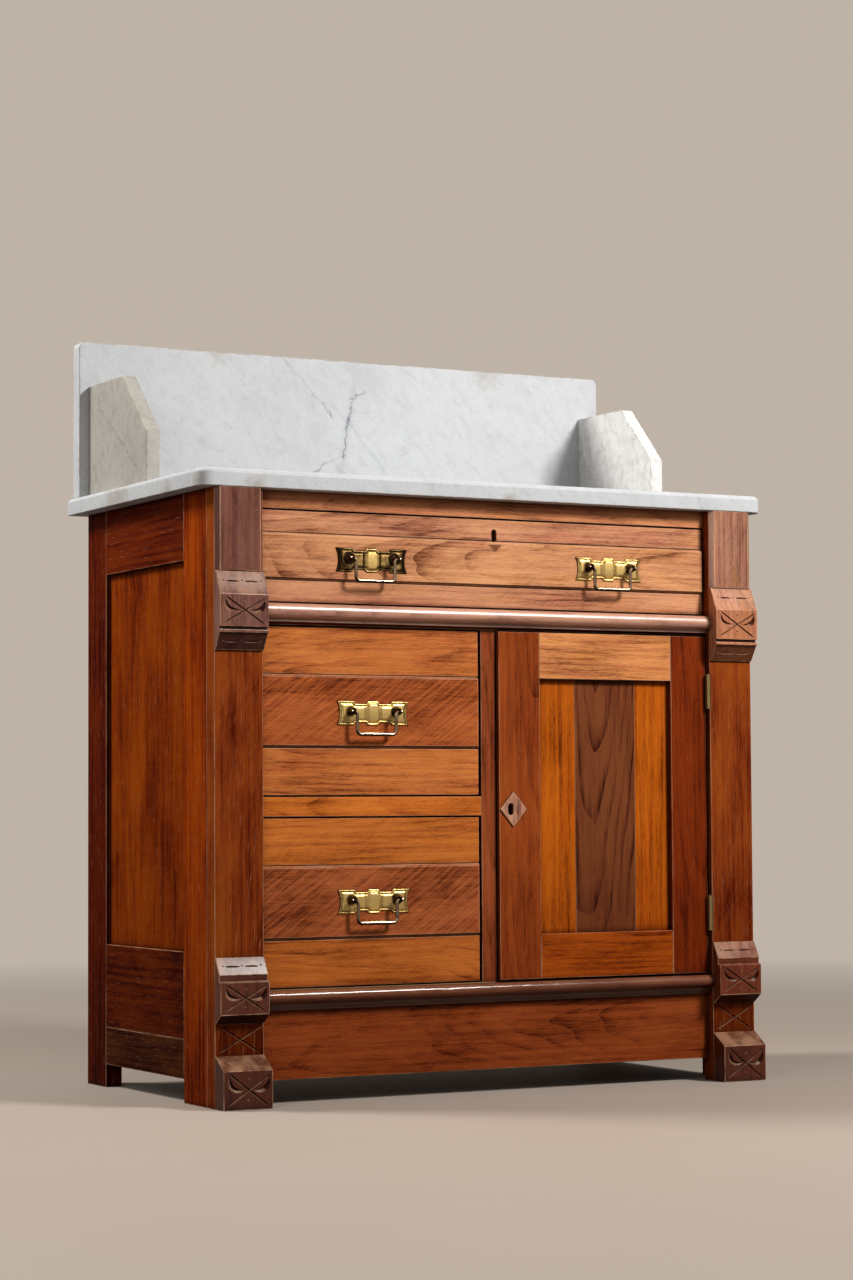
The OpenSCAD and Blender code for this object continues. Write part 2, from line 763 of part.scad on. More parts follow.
module door_lock_body() box([door_x0, door_x0 + door_lock[0]],
    [door_y[1] - door_lock[1], door_y[1]],
    [door_key[1] - door_lock[2] / 2, door_key[1] + door_lock[2] / 2]);

// The door's bolt, slid out to the left and grown all round.
module door_bolt_shape(slide, fit) {
    y = door_y[1] - (door_lock[1] + door_bolt_size[1]) / 2;
    z = door_key[1] + 9;
    box([door_x0 + bolt_back - slide - fit, door_x0 + bolt_back + door_bolt_size[0] + fit],
        [y - fit, y + door_bolt_size[1] + fit], [z - fit, z + door_bolt_size[2] + fit]);
}
module door_bolt_space(slide) door_bolt_shape(slide, bolt_fit);

module door_lock() color(steel) from_face() difference() {
    door_lock_body();
    door_bolt_space(1);
}
module door_bolt() color(steel) from_face() door_bolt_shape(0, 0);

module drawer_lock_body() {
    y = fascia + front_t;
    box([key_shift - drawer_lock[0] / 2, key_shift + drawer_lock[0] / 2],
        [y - drawer_lock[1], y], [top_drawer[3] - drawer_lock[2], top_drawer[3]]);
}

// The top drawer's bolt, slid up and grown all round.
module drawer_bolt_shape(slide, fit) {
    y = fascia + front_t - (drawer_lock[1] + drawer_bolt_size[1]) / 2;
    z = top_drawer[3] - bolt_back;
    box([key_shift - drawer_bolt_size[0] / 2 - fit, key_shift + drawer_bolt_size[0] / 2 + fit],
        [y - fit, y + drawer_bolt_size[1] + fit], [z - drawer_bolt_size[2] - fit, z + slide + fit]);
}
module drawer_bolt_space(slide) drawer_bolt_shape(slide, bolt_fit);

module top_drawer_lock() color(steel) from_face() difference() {
    drawer_lock_body();
    drawer_bolt_space(1);
}
module top_drawer_bolt() color(steel) from_face() drawer_bolt_shape(0, 0);

// ---- Hinges ----

// One hinge leaf with its share of the knuckles: side 1 is the post's, -1 the door's.
module hinge_leaf(side) {
    seg = hinge_len / knuckle_n;
    x = [leaf_gap / 2, leaf_gap / 2 + leaf_t];
    root = knuckle_r + slot_fit;
    handed(side) {
        box(x, [root, leaf_w], [-hinge_len / 2, hinge_len / 2]);
        for (i = [side > 0 ? 0 : 1 : 2 : knuckle_n - 1])
            translate([0, 0, i * seg - hinge_len / 2 + leaf_gap / 2]) {
                box(x, [0, root], [0, seg - leaf_gap]);
                cylinder(h = seg - leaf_gap, r = knuckle_r);
            }
    }
}

module post_hinge_leaves() color(brass) from_face() for (z = hinge_levels)
    translate([hinge_x, hinge_y, z]) {
        hinge_leaf(1);
        translate([0, 0, -hinge_len / 2]) cylinder(h = hinge_len, r = pin_r);
    }

module door_hinge_leaves() color(brass) from_face() for (z = hinge_levels)
    translate([hinge_x, hinge_y, z]) difference() {
        hinge_leaf(-1);
        translate([0, 0, -hinge_len]) cylinder(h = 2 * hinge_len, r = pin_r + pivot_fit);
    }

marble_slab();
marble_splashback();
marble_left_wing();
marble_right_wing();
left_pilaster();
right_pilaster();
left_front_stile();
right_front_stile();
left_rear_stile();
right_rear_stile();
left_side_panel();
right_side_panel();
side_top_rails();
side_bottom_rails();
side_skirts();
top_blocks();
upper_corbels();
lower_corbels();
foot_blocks();
top_rail();
waist_rail();
waist_moulding();
divider_stile();
drawer_rail();
base_moulding();
plinth_rail();
cupboard_floor();
partition();
back_boards();
rear_top_rail();
drawer_runners();
top_drawer_front();
top_drawer_band();
top_drawer_box();
top_drawer_bottom();
top_drawer_pull_plates();
top_drawer_lock();
top_drawer_bolt();
upper_drawer_front();
upper_drawer_band();
upper_drawer_box();
upper_drawer_bottom();
upper_drawer_pull_plate();
lower_drawer_front();
lower_drawer_band();
lower_drawer_box();
lower_drawer_bottom();
lower_drawer_pull_plate();
top_left_bail();
top_right_bail();
upper_drawer_bail();
lower_drawer_bail();
door_stiles();
door_rails();
door_boards();
door_escutcheon();
door_lock();
door_bolt();
door_hinge_leaves();
post_hinge_leaves();
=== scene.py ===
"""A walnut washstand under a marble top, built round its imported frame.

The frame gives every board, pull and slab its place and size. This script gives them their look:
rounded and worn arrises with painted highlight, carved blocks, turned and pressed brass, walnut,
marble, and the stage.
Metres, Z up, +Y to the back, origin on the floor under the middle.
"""

import json
import math
import random

import bmesh
import bpy
from bpy.props import FloatProperty, FloatVectorProperty, PointerProperty
from mathutils import Matrix, Vector
from mathutils.geometry import delaunay_2d_cdt

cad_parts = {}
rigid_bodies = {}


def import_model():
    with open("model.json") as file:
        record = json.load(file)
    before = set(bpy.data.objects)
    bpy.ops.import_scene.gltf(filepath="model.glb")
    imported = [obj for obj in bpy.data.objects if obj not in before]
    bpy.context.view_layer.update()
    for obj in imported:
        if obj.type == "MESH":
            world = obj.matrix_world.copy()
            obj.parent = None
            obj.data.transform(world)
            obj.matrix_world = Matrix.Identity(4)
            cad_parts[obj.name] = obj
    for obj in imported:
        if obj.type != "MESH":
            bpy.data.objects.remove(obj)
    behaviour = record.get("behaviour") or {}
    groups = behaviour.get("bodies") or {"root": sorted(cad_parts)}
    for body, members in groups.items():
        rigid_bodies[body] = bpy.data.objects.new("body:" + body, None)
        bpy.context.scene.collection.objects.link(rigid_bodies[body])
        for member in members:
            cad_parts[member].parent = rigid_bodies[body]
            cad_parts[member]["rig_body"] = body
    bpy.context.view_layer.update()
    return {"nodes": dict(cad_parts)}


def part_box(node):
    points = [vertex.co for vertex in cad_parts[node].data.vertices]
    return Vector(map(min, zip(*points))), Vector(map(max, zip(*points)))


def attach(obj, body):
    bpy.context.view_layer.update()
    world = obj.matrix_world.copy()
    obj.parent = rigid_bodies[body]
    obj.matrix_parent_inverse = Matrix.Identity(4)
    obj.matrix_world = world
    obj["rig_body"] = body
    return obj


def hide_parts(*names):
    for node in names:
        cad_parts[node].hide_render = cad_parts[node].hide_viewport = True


bl_info = {
    "name": "Walnut washstand",
    "version": (1, 0, 0),
    "blender": (4, 5, 0),
    "location": "3D View > Sidebar > Washstand",
    "description": "Builds a walnut washstand with a marble top round its packed frame",
    "category": "Object",
}

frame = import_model()

MM = 0.001
# Points nearer than this are one point, and faces within this turn are one flat face.
WELD, FLAT = 2e-6, math.radians(0.6)
# Edges that turn more than this get a round.
SHARP = math.radians(28)
# Edges that turn more than this stay crisp, on plain pieces and on carved ones.
CREASE, CARVED_CREASE = math.radians(50), math.radians(20)
# The nodes that do arithmetic, with numbers and with vectors.
MATHS, VECTORS = "ShaderNodeMath", "ShaderNodeVectorMath"


def linear(code):
    """An sRGB hex colour as three linear numbers."""
    parts = [int(code[i : i + 2], 16) / 255 for i in (1, 3, 5)]
    return tuple(c / 12.92 if c <= 0.04045 else ((c + 0.055) / 1.055) ** 2.4 for c in parts)


# ---- What a user may change ----

# Key: (label, colour). Walnut goes from amber sapwood to red-brown heartwood, and every board has
# its own.
COLOURS = {
    "top_rail": ("Top rail", "#b0704c"),
    "top_front": ("Top drawer's front", "#ae7456"),
    "top_band": ("Top drawer's band", "#b57a55"),
    "waist_nosing": ("Waist moulding", "#ad7967"),
    "upper_front": ("Upper drawer's front", "#ac6030"),
    "lower_front": ("Lower drawer's front", "#a95b25"),
    "upper_band": ("Upper drawer's band", "#994d26"),
    "lower_band": ("Lower drawer's band", "#964e2a"),
    "middle_rail": ("Rail between the left drawers", "#b05d22"),
    "divider": ("Divider", "#813d1e"),
    "lock_stile": ("Door's lock stile", "#803813"),
    "hinge_stile": ("Door's hinge stile", "#6b2506"),
    "door_top": ("Door's top rail", "#b87446"),
    "door_bottom": ("Door's bottom rail", "#95420b"),
    "amber_board": ("Door's outer boards", "#9e4a0a"),
    "dark_board": ("Door's middle board", "#613019"),
    "base_nosing": ("Base moulding", "#5a2814"),
    "plinth": ("Plinth rail", "#89401b"),
    "pilaster": ("Pilasters", "#773111"),
    "block": ("Left plain block", "#6b4136"),
    # Painted lighter than the left block, as painted light from the lamp at the right.
    "block_right": ("Right plain block", "#996954"),
    "corbel": ("Upper left corbel", "#734b42"),
    # Painted lighter than the left corbel, as painted light from the lamp at the right.
    "corbel_right": ("Upper right corbel", "#a06448"),
    "low_corbel": ("Lower left corbel", "#5c3024"),
    "low_corbel_right": ("Lower right corbel", "#6e3420"),
    "foot": ("Left foot", "#512618"),
    "foot_right": ("Right foot", "#58291a"),
    "front_stile": ("Sides' front stiles", "#802e05"),
    "rear_stile": ("Sides' rear stiles", "#4f1505"),
    "side_panel": ("Side panels", "#762c05"),
    "side_top": ("Sides' top rails", "#561906"),
    "side_bottom": ("Sides' bottom rails", "#561d07"),
    "skirt": ("Skirt strips", "#472213"),
    "softwood": ("Drawer boxes and inside boards", "#c9a273"),
    "softwood_back": ("Upper and lower back boards", "#a17c54"),
    "softwood_pale": ("Middle back board", "#b08c61"),
    "lozenge": ("Escutcheon", "#b4826a"),
    "mark": ("Remains of the drawer's escutcheon", "#7c4a34"),
    # Also the colour of the painted highlights on lit slopes, cut walls, dots and moulding noses.
    "worn": ("Worn arrises", "#d3a37f"),
    "brass": ("Pull plates", "#ecc97e"),
    "tarnish": ("Tarnish on the brass", "#5a3f1e"),
    # On the bails this black is painted shade under the wire.
    "black_tarnish": ("Oldest tarnish, on studs and bails", "#23180f"),
    "bronze": ("Bails", "#c0ad99"),
    "iron": ("Locks and hinges", "#9a8358"),
    "marble": ("Marble", "#bec0c2"),
    "marble_grey": ("Marble's grey clouds", "#abacaf"),
    # The wings are copies of the marble: the right one paler, painted light on its shaded inner
    # face, the left one darker and warmer, partly painted shade.
    "marble_pale": ("Right wing's marble", "#d8d7d5"),
    "marble_warm": ("Left wing's marble", "#a9a49c"),
    "marble_warm_grey": ("Wings' grey clouds", "#8a857e"),
    "vein": ("Marble's veins", "#4d515c"),
    "pit": ("Pits in the marble", "#4e4a45"),
    "stain": ("Stains on the marble", "#8f7d66"),
    "floor": ("Floor", "#9c8e82"),
    "backdrop": ("Background", "#bfb3a7"),
    "floor_bounce": ("What the floor throws back", "#5c5650"),
}


class WashstandColours(bpy.types.PropertyGroup):
    """The colour of each finish."""

    __annotations__ = {
        key: FloatVectorProperty(
            name=label,
            description=f"Colour of: {label}",
            subtype="COLOR",
            size=3,
            min=0,
            max=1,
            default=linear(code),
        )
        for key, (label, code) in COLOURS.items()
    }


# Key: (label, description, millimetres).
SIZES = {
    "arris": ("Arris", "Width of the worn round on the walnut's outer edges", 0.8),
    "fine_arris": ("Fine arris", "Width of the round on thin boards and drawer boxes", 0.4),
    "groove_w": ("Groove width", "Width of the incised lines on the corbels and feet", 2.4),
    "groove_d": ("Groove depth", "Depth of the incised lines", 1.6),
    "leaf_w": ("Leaf width", "Width of the gouged leaves at their widest", 6.5),
    "leaf_d": ("Leaf depth", "Depth of the gouged leaves", 2.4),
    "dent": ("Dents", "Depth of the dents along the mouldings", 0.35),
    "rim_w": ("Plate rim", "Width of the raised rim of a pull plate", 1.9),
}


class WashstandSizes(bpy.types.PropertyGroup):
    """The sizes of what this script adds to the frame."""

    __annotations__ = {
        key: FloatProperty(name=label, description=about, default=size * MM, unit="LENGTH")
        for key, (label, about, size) in SIZES.items()
    }


ANGLE, POWER = {"subtype": "ANGLE"}, {"unit": "POWER"}
# Key: (label, description, value, what kind of number it is).
STAGE = {
    "camera_yaw": ("Yaw", "Turn of the view from +Y towards +X", math.radians(28.4695), ANGLE),
    "camera_pitch": ("Pitch", "Tilt of the view above the horizon", math.radians(3.2294), ANGLE),
    "camera_roll": ("Roll", "Roll of the picture", math.radians(-0.3174), ANGLE),
    "lens": ("Lens", "Focal length for a picture 36 mm high", 84.0596, {"unit": "CAMERA"}),
    "key_power": ("Main lamp", "Power of the lamp at the right, in front and above", 103, POWER),
    "left_power": ("Left lamp", "Power of the lamp that lights the left side", 85, POWER),
    "fill_power": ("Fill lamp", "Power of the weak lamp at the front left", 17, POWER),
    "world_level": ("World", "Brightness of the light from all round", 0.08, {"min": 0, "max": 1}),
}


class WashstandStage(bpy.types.PropertyGroup):
    """Where the camera stands, and how bright the lamps are."""

    __annotations__ = {
        "camera_at": FloatVectorProperty(
            name="Camera",
            description="Place of the camera",
            default=(-1.8547, -3.4368, 0.353),
            subtype="TRANSLATION",
            unit="LENGTH",
        ),
        **{
            key: FloatProperty(name=label, description=about, default=value, **kind)
            for key, (label, about, value, kind) in STAGE.items()
        },
    }


# ---- Nodes and materials ----


def feed(tree, node, inputs):
    """Sets a node's inputs. An input is a value, or another node's output to link."""
    for key, value in inputs.items():
        if isinstance(value, bpy.types.NodeSocket):
            tree.links.new(value, node.inputs[key])
        else:
            node.inputs[key].default_value = value


def add(tree, kind, inputs=None, **settings):
    """Adds a node with its settings and links, and gives its outputs."""
    made = tree.nodes.new(kind)
    for key, value in settings.items():
        setattr(made, key, value)
    feed(tree, made, inputs or {})
    return made.outputs


def through(tree, kind, value, *steps):
    """Sends a value through steps of arithmetic. A step is an operation and its other inputs."""
    for operation, *others in steps:
        made = add(tree, kind, dict(enumerate([value, *others])), operation=operation)
        value = made["Value" if operation in ("LENGTH", "DOT_PRODUCT", "DISTANCE") else 0]
    return value


def colour(key):
    """A user's colour as four numbers."""
    return (*getattr(bpy.context.scene.washstand_colours, key), 1)


def new_material(name):
    """An empty material's tree with its surface shader and output."""
    material = bpy.data.materials.new(name)
    material.use_nodes = True
    tree = material.node_tree
    tree.nodes.clear()
    shader = tree.nodes.new("ShaderNodeBsdfPrincipled")
    output = tree.nodes.new("ShaderNodeOutputMaterial")
    tree.links.new(shader.outputs["BSDF"], output.inputs["Surface"])
    return material, tree, shader


def patterns(tree, place, table):
    """Lays noise patterns on a surface. A row holds the size of the features on each axis in
    metres, their turn in degrees, the detail, the roughness and the shift."""
    laid = {}
    for name, (size, turn, detail, rough, shift) in table.items():
        turned = [math.radians(angle) for angle in turn]
        laying = {"Vector": place, "Location": shift, "Rotation": turned, "Scale": size}
        mapped = add(tree, "ShaderNodeMapping", laying, vector_type="TEXTURE")[0]
        noise = {"Vector": mapped, "Scale": 1.0, "Detail": detail, "Roughness": rough}
        laid[name] = add(tree, "ShaderNodeTexNoise", noise)
    return laid


def summed(tree, start, *parts):
    """A start value plus parts. A part is a value, the range it is read over, and what it adds at
    each end."""
    for value, low, high, at_low, at_high in parts:
        reading = {"From Min": low, "From Max": high, "To Min": at_low, "To Max": at_high}
        part = add(tree, "ShaderNodeMapRange", {"Value": value, **reading})[0]
        start = through(tree, MATHS, start, ("ADD", part))
    return start


def painted(tree, first, *coats):
    """Coats of colour over the first, each shown by its own factor."""
    for factor, coat in coats:
        first = add(tree, "ShaderNodeMix", {0: factor, 6: first, 7: coat}, data_type="RGBA")[2]
    return first


def grain_space(tree, along):
    """A board's own coordinates: along the grain, across its face, and into it. Each board is
    shifted by its own seed, so that no two show the same figure."""
    coords = add(tree, "ShaderNodeTexCoord")["Object"]
    seed = add(tree, "ShaderNodeAttribute", attribute_name="board_seed")["Vector"]
    parts = add(tree, "ShaderNodeSeparateXYZ", {0: through(tree, VECTORS, coords, ("ADD", seed))})
    order = {"X": (0, 2, 1), "Y": (1, 2, 0), "Z": (2, 0, 1)}[along]
    return add(tree, "ShaderNodeCombineXYZ", {i: parts[order[i]] for i in range(3)})[0]


# Wood's patterns, in a board's own coordinates: along the grain, across its face, into it.
WOOD_PATTERNS = {
    # The growth rings wander slowly: 300 mm along and 70 mm across.
    "stray": ((0.3, 0.07, 0.07), (0, 0, 0), 2, 0.5, (0, 0, 0)),
    # Where the rings show strongly.
    "uneven": ((0.12, 0.03, 0.03), (0, 0, 0), 2, 0.5, (3, 1, 2)),
    # Fibres: real ones are 0.2 mm wide, drawn 0.9 mm wide so that they show.
    "fibre": ((0.03, 0.9 * MM, 0.9 * MM), (0, 0, 0), 4, 0.7, (0, 0, 0)),
    # Darker and paler streaks, 5 mm wide.
    "streak": ((0.2, 5 * MM, 5 * MM), (0, 0, 0), 2, 0.55, (4, 2, 7)),
    # Pores: dark dashes, really 0.3 by 5 mm, drawn 0.8 by 8 mm.
    "pore": ((8 * MM, 0.8 * MM, 0.8 * MM), (0, 0, 0), 1, 0.4, (5, 7, 1)),
    # Clouds of stain and light, 60 to 150 mm, and patches that are redder.
    "cloud": ((0.15, 0.06, 0.06), (0, 0, 0), 3, 0.55, (2, 9, 4)),
    "redness": ((0.09, 0.02, 0.03), (0, 0, 0), 2, 0.5, (7, 5, 3)),
    # Ribbon: slanting bands where the fibres rise and fall, 3 to 12 mm wide.
    "ribbon": ((0.06, 3.5 * MM, 0.05), (0, 0, 36), 3, 0.6, (1, 4, 8)),
    # Scuffs: short pale lines, really 0.3 mm wide, drawn 1 mm wide.
    "scuff": ((0.03, 1 * MM, 1 * MM), (0, 0, 3), 2, 0.6, (9, 3, 1)),
    # Where hands and cloths have rubbed.
    # Where the arrises show pale wear and painted highlight.
    "worn_and_lit": ((0.05, 0.02, 0.02), (0, 0, 0), 3, 0.6, (6, 2, 5)),
    # A hand-planed surface's slow waves.
    "waves": ((0.05, 0.02, 0.02), (0, 0, 0), 1, 0.5, (8, 8, 3)),
}

# How plain walnut shows. Sizes in metres: rings is the distance between growth rings, pith the
# place of the tree's middle in the board's own coordinates, lean its turn about them, and wander
# how far the rings stray. The others are strengths, what multiplies the colour of the darkest and
# the palest wood, and gloss.
WALNUT = {
    "rings": 5 * MM,
    "ring_dark": 0.26,
    "pith": (0.0, 0.015, 0.09),
    "lean": (0, 0.05, 0.012),
    "wander": 15 * MM,
    "fibre": 0.31,
    "streak": 0.2,
    "pores": 0.22,
    "mottle": 0.3,
    "ribbon": 0.06,
    "redness": 0.8,
    "deep": (0.3, 0.2, 0.17),
    "pale": (1.42, 1.58, 1.5),
    "rough": 0.4,
    "specular": 0.05,
    "coat": 0.0,
    "coat_rough": 0.14,
    "edge_wear_and_highlight": 0.52,
    "scuffs": 0.05,
    "low_shade": 0.5,
}

# Painted shade darkens the wood from one height down to the other, and in corners as deep as this.
LOW_SHADE_TOP, LOW_SHADE_BOTTOM, CORNER_SHADE_REACH = 0.34, 0.04, 10 * MM
# What multiplies a board's colour where it is redder, where it is more amber, where painted shade
# darkens it towards the floor, and where grime and painted shade lie.
RED, AMBER = (0.96, 0.78, 0.8), (1.05, 1.02, 0.72)
LOW_SHADE_TONE, SHADE_AND_GRIME_TONE = (0.5, 0.38, 0.32), (0.16, 0.1, 0.08)


def timber(name, along, **changes):
    """Walnut or softwood, planed, stained and varnished by hand. To the eye: fine dark fibres and
    pores along the grain, broader growth rings that wander, patches that go from red to amber, a
    soft gloss, and pale lines along the arrises, partly worn-off varnish and partly painted
    highlight."""
    have = {**WALNUT, **changes}
    material, tree, shader = new_material(name)
    own = grain_space(tree, along)
    attributes = {
        key: add(tree, "ShaderNodeAttribute", attribute_name=key)
        for key in ("board_colour", "arris", "dirt")
    }
    base, dirt = attributes["board_colour"]["Vector"], attributes["dirt"]["Fac"]
    laid = patterns(tree, own, WOOD_PATTERNS)
    shows = {key: laid[key]["Fac"] for key in laid}

    # The place in the tree, strayed from the board's own, and how far up a growth ring it lies.
    reach = 2 * have["wander"]
    strayed = (("SUBTRACT", (0.5, 0.5, 0.5)), ("MULTIPLY_ADD", (0, reach, reach), own))
    place = through(tree, VECTORS, laid["stray"]["Color"], *strayed)
    about = {"Vector": place, "Location": have["pith"], "Rotation": have["lean"]}
    place = add(tree, "ShaderNodeMapping", about, vector_type="TEXTURE")[0]
    ring = through(tree, VECTORS, place, ("MULTIPLY", (0.05, 1, 1)), ("LENGTH",))
    ring = through(tree, MATHS, ring, ("DIVIDE", have["rings"]), ("FRACT",))
    clear = summed(tree, 0.0, (shows["uneven"], 0.38, 0.64, 0.15, 1))
    late = through(tree, MATHS, summed(tree, 0.0, (ring, 0.55, 0.97, 0, 1)), ("MULTIPLY", clear))

    tone = summed(
        tree,
        0.52,
        (shows["fibre"], 0.3, 0.7, -have["fibre"], have["fibre"]),
        (shows["streak"], 0.32, 0.68, -have["streak"], have["streak"]),
        (late, 0, 1, have["ring_dark"] * 0.4, -have["ring_dark"]),
        (shows["cloud"], 0.3, 0.7, -have["mottle"], have["mottle"]),
        (shows["ribbon"], 0.3, 0.7, -have["ribbon"], have["ribbon"]),
        (shows["pore"], 0.56, 0.66, 0, -have["pores"]),
    )

    def shade(of, factors):
        return through(tree, VECTORS, of, ("MULTIPLY", factors))

    red = have["redness"]
    body = painted(
        tree,
        base,
        (summed(tree, 0.0, (shows["redness"], 0.5, 0.7, 0, red)), shade(base, RED)),
        (summed(tree, 0.0, (shows["redness"], 0.3, 0.5, red, 0)), shade(base, AMBER)),
    )
    wood = painted(
        tree,
        shade(base, have["deep"]),
        (summed(tree, 0.0, (tone, 0, 0.5, 0, 1)), body),
        (summed(tree, 0.0, (tone, 0.5, 1, 0, 1)), shade(base, have["pale"])),
    )
    # Pale stretches along the arrises: worn-off varnish, and painted highlight on faces marked as
    # lit.
    worn_and_lit = summed(tree, 0.0, (shows["worn_and_lit"], 0.38, 0.6, 0.14, have["edge_wear_and_highlight"]))
    worn_and_lit = through(tree, MATHS, worn_and_lit, ("MULTIPLY", attributes["arris"]["Fac"]))
    # Painted shade darkens the wood towards the floor. Grime and painted shade lie in the cuts,
    # painted shade on faces that look down, and more painted shade, from the occlusion node, in
    # every gap and corner.
    coords = add(tree, "ShaderNodeTexCoord")["Object"]
    level = add(tree, "ShaderNodeSeparateXYZ", {0: coords})["Z"]
    corner = add(tree, "ShaderNodeAmbientOcclusion", {"Distance": CORNER_SHADE_REACH}, samples=8)["AO"]
    shaded_low, shaded_and_grimy = shade(wood, LOW_SHADE_TONE), shade(wood, SHADE_AND_GRIME_TONE)
    wood = painted(
        tree,
        wood,
        (summed(tree, 0.0, (level, LOW_SHADE_BOTTOM, LOW_SHADE_TOP, 1.3 * have["low_shade"], 0)), shaded_low),
        (dirt, shaded_and_grimy),
        (summed(tree, 0.0, (corner, 0.34, 0.96, 1, 0)), shaded_and_grimy),
        (summed(tree, 0.0, (shows["scuff"], 0.65, 0.71, 0, have["scuffs"])), colour("worn")),
        (worn_and_lit, colour("worn")),
    )
    rough = summed(
        tree,
        have["rough"],
        (shows["cloud"], 0.3, 0.7, -0.06, 0.08),
        (shows["pore"], 0.58, 0.7, 0, 0.15),
        (worn_and_lit, 0, 1, 0, 0.15),
    )
    height = summed(
        tree,
        0.0,
        (shows["fibre"], 0.2, 0.8, 0, 0.4),
        (shows["pore"], 0.58, 0.7, 0, -0.6),
        (shows["waves"], 0, 1, 0, 2),
    )
    bump = {"Strength": 0.5, "Distance": 0.12 * MM, "Height": height}
    # No polish reached into the cuts.
    coat = have["coat"]
    if coat:
        coat = summed(tree, coat, (dirt, 0, 0.3, 0, -0.9 * coat))
    inputs = {
        "Base Color": wood,
        "Roughness": rough,
        "Normal": add(tree, "ShaderNodeBump", bump)[0],
        "IOR": 1.5,
        "Specular IOR Level": have["specular"],
        "Coat Weight": coat,
        "Coat Roughness": have["coat_rough"],
        "Coat IOR": 1.5,
    }
    feed(tree, shader, inputs)
    return material


# Marble's patterns. Its streaks run down to the right, as the block was bedded.
BEDDING = (0, 38, -20)
MARBLE_PATTERNS = {
    "cloud": ((0.3, 0.12, 0.12), BEDDING, 5, 0.62, (0, 0, 0)),
    "streak": ((0.22, 9 * MM, 12 * MM), BEDDING, 4, 0.6, (0, 0, 0)),
    "mottle": ((0.02, 0.014, 0.014), BEDDING, 4, 0.65, (4, 1, 6)),
    "fleck": ((0.01, 3 * MM, 3 * MM), BEDDING, 3, 0.65, (7, 2, 2)),
    # Crystals: real ones are 0.5 mm, drawn 1.6 mm so that they show.
    "speck": ((1.6 * MM, 1.6 * MM, 1.6 * MM), (0, 0, 0), 2, 0.6, (0, 0, 0)),
    "jag": ((0.05, 0.05, 0.05), (0, 0, 0), 7, 0.68, (0, 0, 0)),
    "crack": ((0.011, 0.011, 0.011), (0, 0, 0), 4, 0.75, (3, 5, 2)),
    "break": ((0.035, 0.035, 0.035), (0, 0, 0), 3, 0.6, (1, 2, 3)),
    "worn": ((0.012, 0.012, 0.012), (0, 0, 0), 4, 0.6, (0, 0, 0)),
}


# How far a vein strays from its plane, broadly and finely.
JAG, CRACK = 5 * MM, 4 * MM


def marble(name, key, grey, veins, spots):
    """White marble, sawn and polished, then dulled by use. To the eye: near-white with grey clouds
    and faint streaks, a few jagged blue-grey veins, stains and pits, and a soft gloss. A vein is
    its middle, the normal of its plane, its half width, strength and reach; a spot its middle,
    radius, softness, strength and colour."""
    material, tree, shader = new_material(name)
    coords = add(tree, "ShaderNodeTexCoord")["Object"]
    laid = {key: value["Fac"] for key, value in patterns(tree, coords, MARBLE_PATTERNS).items()}
    clouded = summed(
        tree,
        0.0,
        (laid["cloud"], 0.42, 0.72, 0, 0.5),
        (laid["streak"], 0.52, 0.72, 0, 0.45),
        (laid["mottle"], 0.46, 0.7, 0, 0.34),
        (laid["fleck"], 0.6, 0.7, 0, 0.9),
        (laid["speck"], 0.52, 0.72, 0, 0.25),
    )
    stone = painted(tree, colour(key), (clouded, colour(grey)))
    for point, normal, width, strength, reach in veins:
        # Distance from the vein's plane, made jagged. It breaks off here and there, and ends.
        away = through(tree, VECTORS, coords, ("SUBTRACT", point), ("DOT_PRODUCT", normal))
        jag, crack = (laid["jag"], 0.2, 0.8, -JAG, JAG), (laid["crack"], 0.25, 0.75, -CRACK, CRACK)
        away = through(tree, MATHS, summed(tree, away, jag, crack), ("ABSOLUTE",))
        along = through(tree, VECTORS, coords, ("DISTANCE", point))
        strong = summed(tree, 0.0, (laid["break"], 0.3, 0.6, 0.45 * strength, strength))
        here = summed(tree, 0.0, (along, 0.85 * reach, reach, 1, 0))
        line = summed(tree, 0.0, (away, 0, width, 1, 0))
        line = through(tree, MATHS, line, ("MULTIPLY", strong), ("MULTIPLY", here))
        stone = painted(tree, stone, (line, colour("vein")))
    for middle, radius, soft, strength, stain in spots:
        away = through(tree, VECTORS, coords, ("DISTANCE", middle))
        away = summed(tree, away, (laid["worn"], 0.3, 0.7, -0.35 * radius, 0.35 * radius))
        inside_it = summed(tree, 0.0, (away, radius - soft, radius, strength, 0))
        stone = painted(tree, stone, (inside_it, colour(stain)))
    # The arrises are chipped and have taken up dirt.
    arris = add(tree, "ShaderNodeAttribute", attribute_name="arris")["Fac"]
    grubby = summed(tree, 0.0, (laid["worn"], 0.42, 0.62, 0, 0.6))
    grubby = through(tree, MATHS, grubby, ("MULTIPLY", arris))
    bump = {"Strength": 0.35, "Distance": 0.15 * MM, "Height": laid["worn"]}
    inputs = {
        "Base Color": painted(tree, stone, (grubby, colour("stain"))),
        "Roughness": summed(tree, 0.0, (laid["cloud"], 0.3, 0.7, 0.42, 0.56)),
        "Normal": add(tree, "ShaderNodeBump", bump)[0],
        "IOR": 1.5,
        "Specular IOR Level": 0.2,
    }
    feed(tree, shader, inputs)
    return material


METAL_PATTERNS = {
    "blotch": ((9 * MM, 9 * MM, 9 * MM), (0, 0, 0), 4, 0.65, (0, 0, 0)),
    # Cleaning scratches: finer than 0.1 mm, drawn 0.7 mm wide.
    "scratch": ((8 * MM, 0.7 * MM, 0.7 * MM), (0, 0, 0), 3, 0.6, (0, 0, 0)),
}


